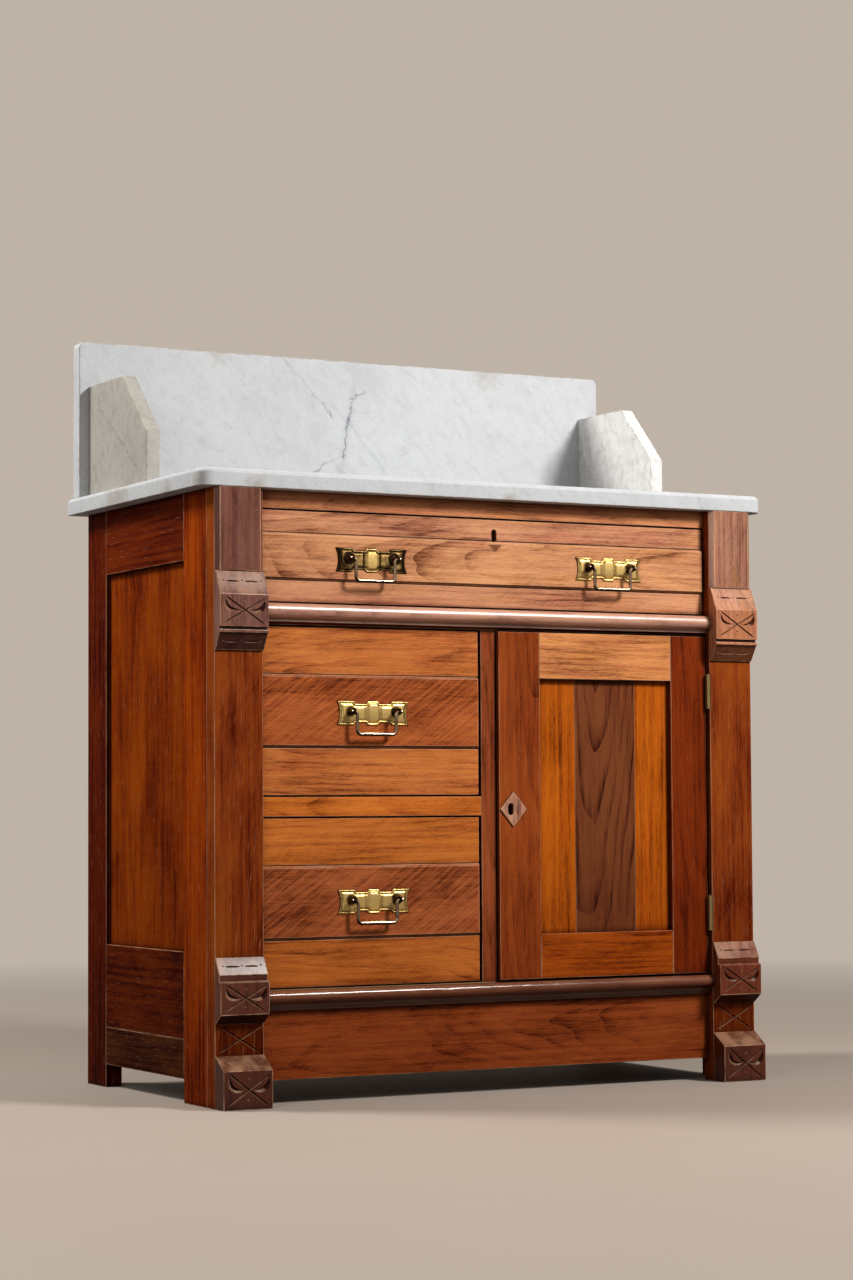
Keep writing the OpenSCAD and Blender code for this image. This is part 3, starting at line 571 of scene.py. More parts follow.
def metal(name, key, rough, stain):
    """A metal worn bright in places and dull with tarnish in others; on the bails the bright tops
    are a painted highlight and the dark undersides painted shade. To the eye: soft reflections,
    darker in the hollows and towards the ends, with fine scratches from cleaning."""
    material, tree, shader = new_material(name)
    coords = add(tree, "ShaderNodeTexCoord")["Object"]
    laid = patterns(tree, coords, METAL_PATTERNS)
    blotch, scratch = laid["blotch"]["Fac"], laid["scratch"]["Fac"]
    # The piece's own tarnish, where it has any, is an attribute of its points. On the bails it
    # holds a painted highlight on top and painted shade beneath.
    own = add(tree, "ShaderNodeAttribute", attribute_name="tarnish_here")["Fac"]
    tarnish_and_painted_light = summed(tree, own, (blotch, 0.4, 0.68, 0, stain), (scratch, 0.3, 0.7, -0.12, 0.12))
    black = summed(tree, 0.0, (tarnish_and_painted_light, 0.75, 1.15, 0, 1))
    coats = ((tarnish_and_painted_light, colour("tarnish")), (black, colour("black_tarnish")))
    bump = {"Strength": 0.3, "Distance": 0.1 * MM, "Height": blotch}
    inputs = {
        "Base Color": painted(tree, colour(key), *coats),
        "Roughness": summed(tree, rough, (tarnish_and_painted_light, 0, 1, 0, 0.3), (scratch, 0.3, 0.7, 0, 0.08)),
        "Normal": add(tree, "ShaderNodeBump", bump)[0],
        "Metallic": 1,
    }
    feed(tree, shader, inputs)
    return material


SOFTWOOD = {
    "streak": 0.08,
    "deep": (0.62, 0.5, 0.4),
    "pale": (1.12, 1.14, 1.16),
    "redness": 0.2,
    "pores": 0.04,
    "rough": 0.64,
    "edge_wear_and_highlight": 0.2,
    "low_shade": 0.0,
}
# The sides' varnish has gone dull, and what shows through is amber on deep red.
SIDE = {
    "specular": 0.01,
    "rough": 0.5,
    "scuffs": 0.22,
    "redness": 0.35,
    "streak": 0.36,
    "mottle": 0.46,
    "deep": (0.34, 0.16, 0.14),
    "pale": (1.45, 1.85, 1.2),
}
# The mouldings' fine and glossy wood.
NOSING = {"fibre": 0.14, "rough": 0.3, "low_shade": 0.2}
# Panels are wide boards, with rings far apart.
WIDE_BOARD = {"rings": 12 * MM, "streak": 0.24, "pith": (0, 0.3, 0.1)}
# Finish: (timber's grain axis, what differs from plain walnut).
FINISHES = {
    "walnut_upright": ("Z", {}),
    "walnut_crosswise": ("X", {}),
    "walnut_side_rail": ("Y", {**SIDE, "pith": (0.0, 0.05, 0.12)}),
    "walnut_side_upright": ("Z", {**SIDE, "ring_dark": 0.12, "pores": 0.12}),
    "walnut_pilaster": (
        "Z",
        {**SIDE, "ring_dark": 0.06, "pores": 0.1, "streak": 0.22, "fibre": 0.3},
    ),
    "walnut_flat_sawn": (
        "X",
        {
            "rings": 8 * MM,
            "ring_dark": 0.34,
            "pith": (0.0, 0.01, 0.05),
            "lean": (0, 0.07, 0.02),
            "wander": 16 * MM,
            "ribbon": 0.08,
        },
    ),
    "walnut_ribbon": (
        "X",
        {"ribbon": 0.34, "ring_dark": 0.06, "fibre": 0.26, "streak": 0.1, "mottle": 0.36},
    ),
    "walnut_panel": ("Z", {**WIDE_BOARD, "ring_dark": 0.24}),
    "walnut_side_panel": ("Z", {**SIDE, **WIDE_BOARD, "ring_dark": 0.2}),
    "walnut_heart": (
        "Z",
        {
            "rings": 9 * MM,
            "ring_dark": 0.7,
            "pith": (0, -0.03, 0.03),
            "lean": (0, 0.1, 0.05),
            "wander": 16 * MM,
            "mottle": 0.4,
            "low_shade": 0.8,
        },
    ),
    "walnut_carved": (
        "Z",
        {
            "fibre": 0.14,
            "ring_dark": 0.1,
            "rough": 0.34,
            "coat": 0.4,
            "coat_rough": 0.24,
            "specular": 0.04,
            "edge_wear_and_highlight": 0.7,
        },
    ),
    "walnut_nosing": (
        "X",
        {**NOSING, "mottle": 0.22, "coat": 1.0, "coat_rough": 0.3, "specular": 0.45, "edge_wear_and_highlight": 0.5},
    ),
    "walnut_base_nosing": ("X", {**NOSING, "coat": 0.5, "specular": 0.03, "edge_wear_and_highlight": 0.3}),
    "bare_softwood": ("Y", {**SOFTWOOD, "rings": 6 * MM}),
    "bare_softwood_crosswise": ("X", {**SOFTWOOD, "rings": 8 * MM}),
}


def finish(name):
    """The named finish, made once."""
    ready = bpy.data.materials.get(name)
    if ready:
        return ready
    along, changes = FINISHES[name]
    return timber(name, along, **changes)


# ---- Making pieces ----


def marked(mesh):
    """Lets a mesh's faces hold wear with painted highlight, grime with painted shade, their board's
    colour and its place in the timber.
    """
    for key in ("arris", "dirt"):
        mesh.faces.layers.float.new(key)
    for key in ("board_colour", "board_seed"):
        mesh.faces.layers.float_vector.new(key)
    return mesh


def welded(node):
    """A copy of a frame node's mesh with its loose triangles joined into whole flat faces."""
    mesh = bmesh.new()
    mesh.from_mesh(frame["nodes"][node].data)
    bmesh.ops.remove_doubles(mesh, verts=mesh.verts, dist=WELD)
    bmesh.ops.dissolve_limit(
        mesh, angle_limit=FLAT, use_dissolve_boundaries=False, verts=mesh.verts, edges=mesh.edges
    )
    return marked(mesh)


def ease(mesh, width, segments=2):
    """Rounds every outer edge. The new narrow faces are marked, so that they show wear; on the wood
    this is pale and partly a painted highlight.
    """
    outer = [
        edge
        for edge in mesh.edges
        if edge.is_manifold and edge.is_convex and edge.calc_face_angle() > SHARP
    ]
    made = bmesh.ops.bevel(
        mesh,
        geom=outer,
        offset=width,
        offset_type="OFFSET",
        segments=segments,
        profile=0.5,
        affect="EDGES",
        clamp_overlap=False,
    )
    mark = mesh.faces.layers.float["arris"]
    for face in made["faces"]:
        face[mark] = 1.0


def span(faces):
    """The lowest and the highest corner of some faces."""
    points = [vert.co for face in faces for vert in face.verts]
    return ([pick(p[axis] for p in points) for axis in range(3)] for pick in (min, max))


def turns(count):
    """The directions round a circle, as (cosine, sine)."""
    angles = [2 * math.pi * i / count for i in range(count)]
    return [(math.cos(angle), math.sin(angle)) for angle in angles]


def lap(items):
    """Each item with its neighbour, all the way round."""
    return list(zip(items, items[1:] + items[:1]))


def boards(mesh):
    """The faces of each separate board, from left to right and then upwards."""
    left = set(mesh.faces)
    found = []
    while left:
        group = [left.pop()]
        for face in group:
            for edge in face.edges:
                for other in edge.link_faces:
                    if other in left:
                        left.discard(other)
                        group.append(other)
        low, high = span(group)
        found.append((*(round((low[axis] + high[axis]) / 2, 3) for axis in (0, 2)), group))
    found.sort(key=lambda item: item[:2])
    return [group for _, _, group in found]


def paint_slope_light(mesh):
    """Paints a highlight on faces that look up and forward, and shade on those that look down and
    forward.
    """
    arris, dirt = (mesh.faces.layers.float[key] for key in ("arris", "dirt"))
    for face in mesh.faces:
        if face.normal.y < -0.3 and abs(face.normal.z) > 0.3:
            face[arris if face.normal.z > 0 else dirt] = 0.4 if face.normal.z > 0 else 0.75


def tint(mesh, keys, seed):
    """Gives each board its colour, in turn, and its own place in the timber."""
    paint = mesh.faces.layers.float_vector["board_colour"]
    place = mesh.faces.layers.float_vector["board_seed"]
    draw = random.Random(seed)
    for i, group in enumerate(boards(mesh)):
        shade = Vector(colour(keys[i % len(keys)])[:3])
        low, high = map(Vector, span(group))
        size = high - low
        shift = -(low + high) / 2
        for axis in range(3):
            # Far along the grain, where the timber was long, and little across it.
            reach = 0.7 if size[axis] == max(size) else 0.02
            shift[axis] += draw.uniform(-reach, reach)
        for face in group:
            face[paint] = shade
            face[place] = shift


def stood(name, data):
    """A new object in the scene."""
    thing = bpy.data.objects.new(name, data)
    bpy.context.scene.collection.objects.link(thing)
    return thing


def settle(name, mesh, materials, body, slot, *nodes, crease=CREASE):
    """Makes the finished object: smooth over gentle edges, flat faces kept flat."""
    for face in mesh.faces:
        face.smooth = True
    for edge in mesh.edges:
        edge.smooth = edge.is_manifold and edge.calc_face_angle() < crease
    data = bpy.data.meshes.new(name)
    mesh.to_mesh(data)
    mesh.free()
    for material in materials:
        data.materials.append(material)
    thing = stood(name, data)
    even = thing.modifiers.new("even normals", "WEIGHTED_NORMAL")
    even.keep_sharp = True
    return placed(thing, body, slot, *nodes)


def flattened(thing):
    """The plain mesh that an object's modifiers make."""
    ready = thing.evaluated_get(bpy.context.evaluated_depsgraph_get())
    return bpy.data.meshes.new_from_object(ready)


def placed(thing, body, slot, *nodes):
    """Turns what the modifiers make into a plain mesh, and joins the object to its body."""
    data = flattened(thing)
    thing.modifiers.clear()
    thing.data = data
    thing.data.name = thing.name
    if nodes:
        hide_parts(*nodes)
    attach(thing, body)
    return thing


def body_of(node):
    """The body that a frame node belongs to."""
    return frame["nodes"][node]["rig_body"]


def plain_board(node, kinds, keys, slot, arris, seed):
    """One or more boards of the frame with eased edges, each in its own timber and colour."""
    mesh = welded(node)
    ease(mesh, arris)
    paint_slope_light(mesh)
    tint(mesh, keys, seed)
    for i, group in enumerate(boards(mesh)):
        for face in group:
            face.material_index = i % len(kinds)
    timbers = [finish(kind) for kind in kinds]
    return settle(f"{node}_wood", mesh, timbers, body_of(node), slot, node)


# ---- The case ----

SOFT = "secondary_wood"
BACK_BOARDS = ["softwood_back", "softwood_pale", "softwood_back"]
# Node: (finish, colours of its boards, slot). Softwood has the fine arris.
CASE_BOARDS = {
    "left_front_stile": ("walnut_side_upright", ["front_stile"], "walnut_posts"),
    "right_front_stile": ("walnut_side_upright", ["front_stile"], "walnut_posts"),
    "left_rear_stile": ("walnut_side_upright", ["rear_stile"], "walnut_posts"),
    "right_rear_stile": ("walnut_side_upright", ["rear_stile"], "walnut_posts"),
    "left_side_panel": ("walnut_side_panel", ["side_panel"], "walnut_panels"),
    "right_side_panel": ("walnut_side_panel", ["side_panel"], "walnut_panels"),
    "side_top_rails": ("walnut_side_rail", ["side_top"], "walnut_frame"),
    "side_bottom_rails": ("walnut_side_rail", ["side_bottom"], "walnut_frame"),
    "side_skirts": ("walnut_side_rail", ["skirt"], "walnut_frame"),
    "top_blocks": ("walnut_carved", ["block", "block_right"], "walnut_posts"),
    "top_rail": ("walnut_crosswise", ["top_rail"], "walnut_frame"),
    "waist_rail": ("walnut_crosswise", ["divider"], "walnut_frame"),
    "divider_stile": ("walnut_upright", ["divider"], "walnut_frame"),
    "drawer_rail": ("walnut_crosswise", ["middle_rail"], "walnut_frame"),
    "plinth_rail": ("walnut_crosswise", ["plinth"], "walnut_frame"),
    "cupboard_floor": ("bare_softwood_crosswise", ["softwood"], SOFT),
    "partition": ("bare_softwood", ["softwood"], SOFT),
    "back_boards": ("bare_softwood_crosswise", BACK_BOARDS, SOFT),
    "rear_top_rail": ("bare_softwood_crosswise", ["softwood"], SOFT),
    "drawer_runners": ("bare_softwood", ["softwood"], SOFT),
}


class WASHSTAND_OT_case(bpy.types.Operator):
    """Eases and veneers in walnut the stiles, rails, panels and plain blocks of the case"""

    bl_idname = "washstand.case"
    bl_label = "Case boards"

    def execute(self, context):
        sizes = context.scene.washstand_sizes
        for seed, (node, (kind, keys, slot)) in enumerate(CASE_BOARDS.items()):
            width = sizes.fine_arris if slot == SOFT else sizes.arris
            plain_board(node, [kind], keys, slot, width, seed)
        return {"FINISHED"}


# ---- Carving ----


def line_cut(start, end, width, depth):
    """A straight V groove that tapers at both ends."""
    start, end = Vector(start), Vector(end)
    run = end - start
    taper = min(0.3, 2.2 * width / run.length)
    rows = []
    for t, share in ((0, 0), (taper, 1), (1 - taper, 1), (1, 0)):
        at = start + run * t
        rows.append((at, width / 2 * share, width / 2 * share, depth * share))
    return rows


def leaf_cut(start, middle, end, width, depth, steps=8):
    """A curved gouge cut that swells in the middle, steeper on its outer side."""
    start, middle, end = Vector(start), Vector(middle), Vector(end)
    control = 2 * middle - (start + end) / 2
    rows = []
    for i in range(steps + 1):
        t = i / steps
        at = (1 - t) ** 2 * start + 2 * t * (1 - t) * control + t * t * end
        share = math.sin(math.pi * t) ** 0.8 if 0 < t < 1 else 0
        rows.append((at, 0.62 * width * share, 0.38 * width * share, depth * share))
    return rows


def dot_cut(at, radius, depth):
    """A small round punch mark."""
    return ("dot", Vector(at), radius, depth)


def depth_at(point, cuts):
    """How deep the deepest cut is at a point of the face."""
    deepest = 0
    for cut in cuts:
        if cut[0] == "dot":
            _, at, radius, depth = cut
            deepest = max(deepest, depth * (1 - (point - at).length / radius))
            continue
        for (a, al, ar, ad), (b, bl, br, bd) in zip(cut, cut[1:]):
            run = b - a
            t = max(0, min(1, (point - a).dot(run) / run.length_squared))
            away = point - (a + run * t)
            side = run.x * away.y - run.y * away.x
            half = (al + (bl - al) * t) if side > 0 else (ar + (br - ar) * t)
            if half > 1e-7 and away.length < half:
                deepest = max(deepest, (ad + (bd - ad) * t) * (1 - away.length / half))
    return deepest


def sides(cut):
    """The two edges and the bottom line of a cut."""
    left, right = [], []
    for i, (at, left_half, right_half, _) in enumerate(cut):
        before = cut[max(0, i - 1)][0]
        after = cut[min(len(cut) - 1, i + 1)][0]
        run = (after - before).normalized()
        across = Vector((-run.y, run.x))
        left.append(at + across * left_half)
        right.append(at - across * right_half)
    return left, [row[0] for row in cut], right


# Where the light falls on a carved face from, the painted highlight on a cut's wall that looks
# towards it, the grime on that wall, and the painted shade with grime on the other walls.
LIT_FROM = Vector((0.6, 0, 0.8))
LIT_WALL_HIGHLIGHT, LIT_GRIME, SHADED_WALL_GRIME = 0.35, 0.3, 0.95
# Less deep than this is no cut.
SHALLOW = 0.02 * MM
DOT_SIDES = 8


def carve(mesh, face, corner, across, down, cuts):
    """Cuts lines, leaves and dots into one flat face. Places on it are metres from the corner."""
    normal = face.normal.copy()
    marks = {key: face[mesh.faces.layers.float[key]] for key in ("arris", "dirt")}
    ring = list(face.verts)
    points = [Vector(((v.co - corner).dot(across), (v.co - corner).dot(down))) for v in ring]
    edges = []

    def chain(run, closed=False):
        first = len(points)
        points.extend(run)
        edges.extend((first + i, first + i + 1) for i in range(len(run) - 1))
        if closed:
            edges.append((first + len(run) - 1, first))

    for cut in cuts:
        if cut[0] == "dot":
            _, at, radius, _ = cut
            chain([at + radius * Vector(turn) for turn in turns(DOT_SIDES)], True)
            points.append(at)
        else:
            for run in sides(cut):
                chain(run)
    outline = list(range(len(ring)))
    made, _, triangles, origins, _, _ = delaunay_2d_cdt(points, edges, [outline], 1, 1e-7)
    verts = []
    for place, source in zip(made, origins):
        on_ring = [i for i in source if i < len(ring)]
        if on_ring:
            verts.append(ring[on_ring[0]])
            continue
        depth = depth_at(place, cuts)
        verts.append(mesh.verts.new(corner + across * place.x + down * place.y - normal * depth))
    bmesh.ops.delete(mesh, geom=[face], context="FACES_ONLY")
    arris, dirt = (mesh.faces.layers.float[key] for key in ("arris", "dirt"))
    dots = [cut for cut in cuts if cut[0] == "dot"]
    for triangle in triangles:
        corners = [verts[i] for i in triangle]
        if len(set(corners)) < 3:
            continue
        new = mesh.faces.new(corners)
        new.normal_update()
        if new.normal.dot(normal) < 0:
            new.normal_flip()
        middle = sum((made[i] for i in triangle), Vector((0, 0))) / 3
        cut_here = depth_at(middle, cuts) > SHALLOW
        # A cut's wall that looks towards the light gets a painted highlight, and every dot is
        # painted pale too. The other walls get painted shade with grime.
        lit = cut_here and new.normal.dot(LIT_FROM) > normal.dot(LIT_FROM) + 0.1
        lit = lit or depth_at(middle, dots) > SHALLOW
        new[arris] = LIT_WALL_HIGHLIGHT if lit else marks["arris"]
        new[dirt] = (LIT_GRIME if lit else SHADED_WALL_GRIME) if cut_here else marks["dirt"]
    mesh.normal_update()


def face_near(mesh, point, normal):
    """The largest face that looks that way, among those close to the point."""
    normal = normal.normalized()
    fits = [
        face
        for face in mesh.faces
        if face.normal.dot(normal) > 0.995
        and abs((face.calc_center_bounds() - point).dot(normal)) < 0.5 * MM
        and abs(face.calc_center_bounds().x - point.x) < 20 * MM
    ]
    if not fits:
        raise RuntimeError(f"no face to carve at {tuple(point)}")
    return max(fits, key=lambda face: face.calc_area())


# The carved surfaces of the blocks, from upper to lower edge, as (y, z) in millimetres.
UPPER_SLOPE = ((-201.0, 638.0), (-211.5, 613.3))
UPPER_FACE = ((-214.0, 609.5), (-214.0, 570.55))
UPPER_UNDER = ((-212.0, 563.43), (-199.5, 543.0))
LOWER_SLOPE = ((-198.5, 178.5), (-210.0, 157.57))
LOWER_FACE = ((-214.0, 149.27), (-214.0, 110.96))
FOOT_FACE = ((-222.0, 46.2), (-222.0, 0.0))
NECK_FACE = ((-197.0, 99.5), (-197.0, 62.0))
# The blocks' width, and how far their middles stand from the washstand's.
BLOCK_W, BLOCK_X = 64 * MM, 353 * MM
# Punch marks: radius and depth.
BIG_DOT, SMALL_DOT = (1.6 * MM, 1.2 * MM), (1.3 * MM, 1.0 * MM)


def crossed(width, height, sizes, leaves=True):
    """The traditional cross of two lines, with a leaf under each upper arm and a dot above and
    below."""
    groove, leaf = (sizes.groove_w, sizes.groove_d), (sizes.leaf_w, sizes.leaf_d)

    def at(x, z):
        return x * width, z * height

    cuts = [
        line_cut(at(0.1, 0.06), at(0.92, 0.93), *groove),
        line_cut(at(0.08, 0.9), at(0.96, 0.1), *groove),
    ]
    if leaves:
        cuts += [
            leaf_cut(at(0.12, 0.12), at(0.19, 0.43), at(0.43, 0.49), *leaf),
            leaf_cut(at(0.6, 0.5), at(0.83, 0.45), at(0.92, 0.17), *leaf),
            dot_cut(at(0.52, 0.2), *BIG_DOT),
            dot_cut(at(0.5, 0.74), *BIG_DOT),
        ]
    return cuts


def bare_cross(width, height, sizes):
    """The cross without leaves and dots."""
    return crossed(width, height, sizes, False)


def slope_line(width, height, sizes):
    """A level line with a dot at each end and in the middle."""
    w, y = width, 0.52 * height
    cuts = [
        line_cut((start * w, y), (end * w, y), sizes.groove_w, sizes.groove_d)
        for start, end in ((0.15, 0.47), (0.53, 0.86))
    ]
    return cuts + [dot_cut((x * w, y - 1.2 * MM), *SMALL_DOT) for x in (0.12, 0.5, 0.89)]


def carve_band(mesh, side, band, pattern, sizes):
    """Carves one surface of the left or right block."""
    left = side * BLOCK_X - BLOCK_W / 2
    top, low = (Vector((left, y * MM, z * MM)) for y, z in band)
    down = (low - top).normalized()
    across = Vector((1, 0, 0))
    normal = down.cross(across)
    height = (low - top).length
    middle = (top + low) / 2 + across * BLOCK_W / 2
    face = face_near(mesh, middle, normal)
    carve(mesh, face, top, across, down, pattern(BLOCK_W, height, sizes))


# Node: (colours of its two blocks, what is carved on each of its surfaces).
CARVED = {
    "upper_corbels": (
        ["corbel", "corbel_right"],
        [(UPPER_SLOPE, slope_line), (UPPER_FACE, crossed), (UPPER_UNDER, slope_line)],
    ),
    "lower_corbels": (
        ["low_corbel", "low_corbel_right"],
        [(LOWER_SLOPE, slope_line), (LOWER_FACE, crossed)],
    ),
    "foot_blocks": (["foot", "foot_right"], [(FOOT_FACE, crossed)]),
}
# Below this height the pilasters' faces are darkened.
NECK_TOP = 0.1


class WASHSTAND_OT_carved_posts(bpy.types.Operator):
    """Carves the corbels, the feet and the necks between them, and finishes the pilasters"""

    bl_idname = "washstand.carved_posts"
    bl_label = "Pilasters and carved blocks"

    def execute(self, context):
        sizes = context.scene.washstand_sizes
        for seed, (node, (keys, bands)) in enumerate(CARVED.items()):
            mesh = welded(node)
            ease(mesh, sizes.arris)
            paint_slope_light(mesh)
            for side in (-1, 1):
                for band, pattern in bands:
                    carve_band(mesh, side, band, pattern, sizes)
            self.set_up(mesh, keys, 40 + seed, "walnut_carved", f"{node}_carved", node)
        for seed, (side, node) in enumerate(((-1, "left_pilaster"), (1, "right_pilaster"))):
            mesh = welded(node)
            ease(mesh, sizes.arris)
            carve_band(mesh, side, NECK_FACE, bare_cross, sizes)
            dirt = mesh.faces.layers.float["dirt"]
            for face in mesh.faces:
                if face.calc_center_median().z < NECK_TOP:
                    face[dirt] = max(face[dirt], 0.5)
            self.set_up(mesh, ["pilaster"], 50 + seed, "walnut_pilaster", f"{node}_wood", node)
        return {"FINISHED"}

    def set_up(self, mesh, keys, seed, kind, name, node):
        """Colours a carved post, keeps the edges of its cuts crisp and puts it on its body."""
        tint(mesh, keys, seed)
        timbers, body = [finish(kind)], body_of(node)
        settle(name, mesh, timbers, body, "walnut_posts", node, crease=CARVED_CREASE)


# ---- Geometry Nodes ----


def new_tree(name, *labels):
    """An empty Geometry Nodes tree with a geometry input and the named numbers."""
    tree = bpy.data.node_groups.new(name, "GeometryNodeTree")
    for label in ("Geometry", *labels):
        kind = "NodeSocketGeometry" if label == "Geometry" else "NodeSocketFloat"
        tree.interface.new_socket(label, in_out="INPUT", socket_type=kind)
    tree.interface.new_socket("Geometry", in_out="OUTPUT", socket_type="NodeSocketGeometry")
    return tree, add(tree, "NodeGroupInput")


def close_tree(tree, geometry, material):
    """Ends a tree in Realize Instances and Set Material."""
    real = add(tree, "GeometryNodeRealizeInstances", {"Geometry": geometry})[0]
    dressed = {"Geometry": real, "Material": material}
    add(tree, "NodeGroupOutput", {"Geometry": add(tree, "GeometryNodeSetMaterial", dressed)[0]})
    return tree


def grown(name, points, edges, tree, values):
    """An object of bare points and edges, with the tree's modifier on it and its inputs set."""
    data = bpy.data.meshes.new(name)
    data.from_pydata([Vector(p) for p in points], edges, [])
    thing = stood(name, data)
    modifier = thing.modifiers.new(tree.name, "NODES")
    modifier.node_group = tree
    for item in tree.interface.items_tree:
        if item.item_type == "SOCKET" and item.in_out == "INPUT" and item.name in values:
            modifier[item.identifier] = values[item.name]
    return thing


# ---- Mouldings ----


def nosing_outline(top, nose_y, radius, back_y, fillets):
    """A rounded nosing over its fillets as (y, z) points in millimetres, closed at the rail behind.
    A fillet is (y of its face, lower z)."""
    centre_z = top - radius
    points = [(back_y, top)]
    for i in range(19):
        turn = math.pi / 2 + math.pi * i / 18
        points.append((nose_y + radius * math.cos(turn), centre_z + radius * math.sin(turn)))
    for face_y, low_z in fillets:
        points.append((face_y, points[-1][1]))
        points.append((face_y, low_z))
    points.append((back_y, points[-1][1]))
    return points


def moulding_tree(material):
    """A closed outline carried along X between two ends, with dents."""
    tree, given = new_tree("moulding run", "Length", "Step", "Dent", "Seed")
    profile = add(tree, "GeometryNodeMeshToCurve", {"Mesh": given["Geometry"]})[0]
    half = through(tree, MATHS, given["Length"], ("MULTIPLY", 0.5))
    back = through(tree, MATHS, half, ("MULTIPLY", -1.0))
    start, end = (add(tree, "ShaderNodeCombineXYZ", {"X": x})[0] for x in (back, half))
    rail = add(tree, "GeometryNodeCurvePrimitiveLine", {"Start": start, "End": end})[0]
    steps = {"Curve": rail, "Length": given["Step"]}
    rail = add(tree, "GeometryNodeResampleCurve", steps, mode="LENGTH")[0]
    sweep = {"Curve": rail, "Profile Curve": profile, "Fill Caps": True}
    run = add(tree, "GeometryNodeCurveToMesh", sweep)[0]
    # Dents 20 mm long and 12 mm wide, pressed in from the front and from above.
    place = add(tree, "GeometryNodeInputPosition")[0]
    laid = through(tree, VECTORS, place, ("MULTIPLY", (1 / 0.02, 1 / 0.012, 1 / 0.012)))
    noise = {"Vector": laid, "W": given["Seed"], "Scale": 1.0, "Detail": 3.0}
    rough = add(tree, "ShaderNodeTexNoise", noise, noise_dimensions="4D")["Fac"]
    hollow = summed(tree, 0.0, (rough, 0.52, 0.75, 0.0, 1.0))
    depth = through(tree, MATHS, hollow, ("MULTIPLY", given["Dent"]))
    outward = {0: add(tree, "GeometryNodeInputNormal")[0], "Scale": depth}
    shift = add(tree, VECTORS, outward, operation="SCALE")[0]
    inward = through(tree, VECTORS, shift, ("MULTIPLY", (0, -1, -1)))
    dented = add(tree, "GeometryNodeSetPosition", {"Geometry": run, "Offset": inward})[0]
    return close_tree(tree, dented, material)


# Moulding: (its outline, colour, finish).
MOULDINGS = {
    "waist_moulding": (
        nosing_outline(601.5, -193, 9, -184, [(-192, 579.5)]),
        "waist_nosing",
        "walnut_nosing",
    ),
    "base_moulding": (
        nosing_outline(136.5, -194, 8, -184, [(-193, 116.5), (-189, 112.5)]),
        "base_nosing",
        "walnut_base_nosing",
    ),
}


class WASHSTAND_OT_mouldings(bpy.types.Operator):
    """Runs the waist and base mouldings along the front, dented, with a painted highlight on the
    nose
    """

    bl_idname = "washstand.mouldings"
    bl_label = "Mouldings"

    def execute(self, context):
        dent = context.scene.washstand_sizes.dent
        tree = moulding_tree(finish("walnut_nosing"))
        for seed, (node, (outline, key, kind)) in enumerate(MOULDINGS.items()):
            low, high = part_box(node)
            # Along +X the sweep lays an outline's X forwards and its Y downwards.
            points = [(-y * MM, -z * MM, 0) for y, z in outline]
            edges = lap(list(range(len(points))))
            length = high.x - low.x
            values = {"Length": length, "Step": 5 * MM, "Dent": dent, "Seed": 3.0 + seed}
            thing = grown(f"{node}_run", points, edges, tree, values)
            finish_run(thing, key, kind, node, seed)
        return {"FINISHED"}


def finish_run(thing, key, kind, node, seed):
    """Turns a swept moulding into a closed, smooth, tinted mesh on its body."""
    mesh = bmesh.new()
    mesh.from_mesh(flattened(thing))
    bmesh.ops.remove_doubles(mesh, verts=mesh.verts, dist=WELD)
    bmesh.ops.recalc_face_normals(mesh, faces=mesh.faces)
    marked(mesh)
    # The nose gets a painted highlight where it looks up and to the front.
    mark = mesh.faces.layers.float["arris"]
    for face in mesh.faces:
        face[mark] = max(0.0, face.normal.dot(Vector((0, -0.8, 0.6))) - 0.55) * 1.1
    tint(mesh, [key], 60 + seed)
    name = thing.name
    bpy.data.objects.remove(thing)
    settle(name, mesh, [finish(kind)], body_of(node), "walnut_frame", node)


# ---- Drawers ----


# Drawer: (name, finishes of its front and band, and their colours).
DRAWERS = (
    ("top_drawer", ("walnut_crosswise", "walnut_flat_sawn"), ("top_front", "top_band")),
    ("upper_drawer", ("walnut_crosswise", "walnut_ribbon"), ("upper_front", "upper_band")),
    ("lower_drawer", ("walnut_crosswise", "walnut_ribbon"), ("lower_front", "lower_band")),
)
# The front plane of the drawers' bands and of the pulls' plates on them, in millimetres.
BAND_Y = -187.0


class WASHSTAND_OT_drawers(bpy.types.Operator):
    """Finishes the three drawers: fronts, raised bands, dovetailed boxes and bottoms"""

    bl_idname = "washstand.drawers"
    bl_label = "Drawers"

    def execute(self, context):
        sizes = context.scene.washstand_sizes
        for seed, (name, kinds, keys) in enumerate(DRAWERS):
            rows = (
                ("front", kinds[0], keys[0], "walnut_drawer_fronts", 0.7 * sizes.arris, 70),
                ("band", kinds[1], keys[1], "walnut_drawer_fronts", 0.6 * sizes.arris, 80),
                ("box", "bare_softwood", "softwood", SOFT, 0.4 * sizes.fine_arris, 90),
                ("bottom", "bare_softwood_crosswise", "softwood", SOFT, 0.4 * sizes.fine_arris, 90),
            )
            for part, kind, key, slot, width, first in rows:
                plain_board(f"{name}_{part}", [kind], [key], slot, width, first + seed)
        drawer_mark(sizes)
        return {"FINISHED"}


def drawer_mark(sizes):
    """The lower half of a lozenge, left under the top drawer's keyhole on its band."""
    mesh = marked(bmesh.new())
    middle, top, low, half = 6.8 * MM, 684 * MM, 674.5 * MM, 9.8 * MM
    back, face = BAND_Y * MM + 0.2 * MM, -188.1 * MM
    outline = [(middle - half, top), (middle + half, top), (middle, low)]
    ends = [[mesh.verts.new((x, y, z)) for x, z in outline] for y in (face, back)]
    mesh.faces.new(ends[0])
    mesh.faces.new(list(reversed(ends[1])))
    for (a, b), (c, d) in zip(*map(lap, ends)):
        mesh.faces.new((a, c, d, b))
    bmesh.ops.recalc_face_normals(mesh, faces=mesh.faces)
    ease(mesh, 0.8 * sizes.arris, 1)
    tint(mesh, ["mark"], 99)
    settle("top_drawer_mark", mesh, [finish("walnut_crosswise")], "top_drawer", "escutcheon_wood")


# ---- Door ----


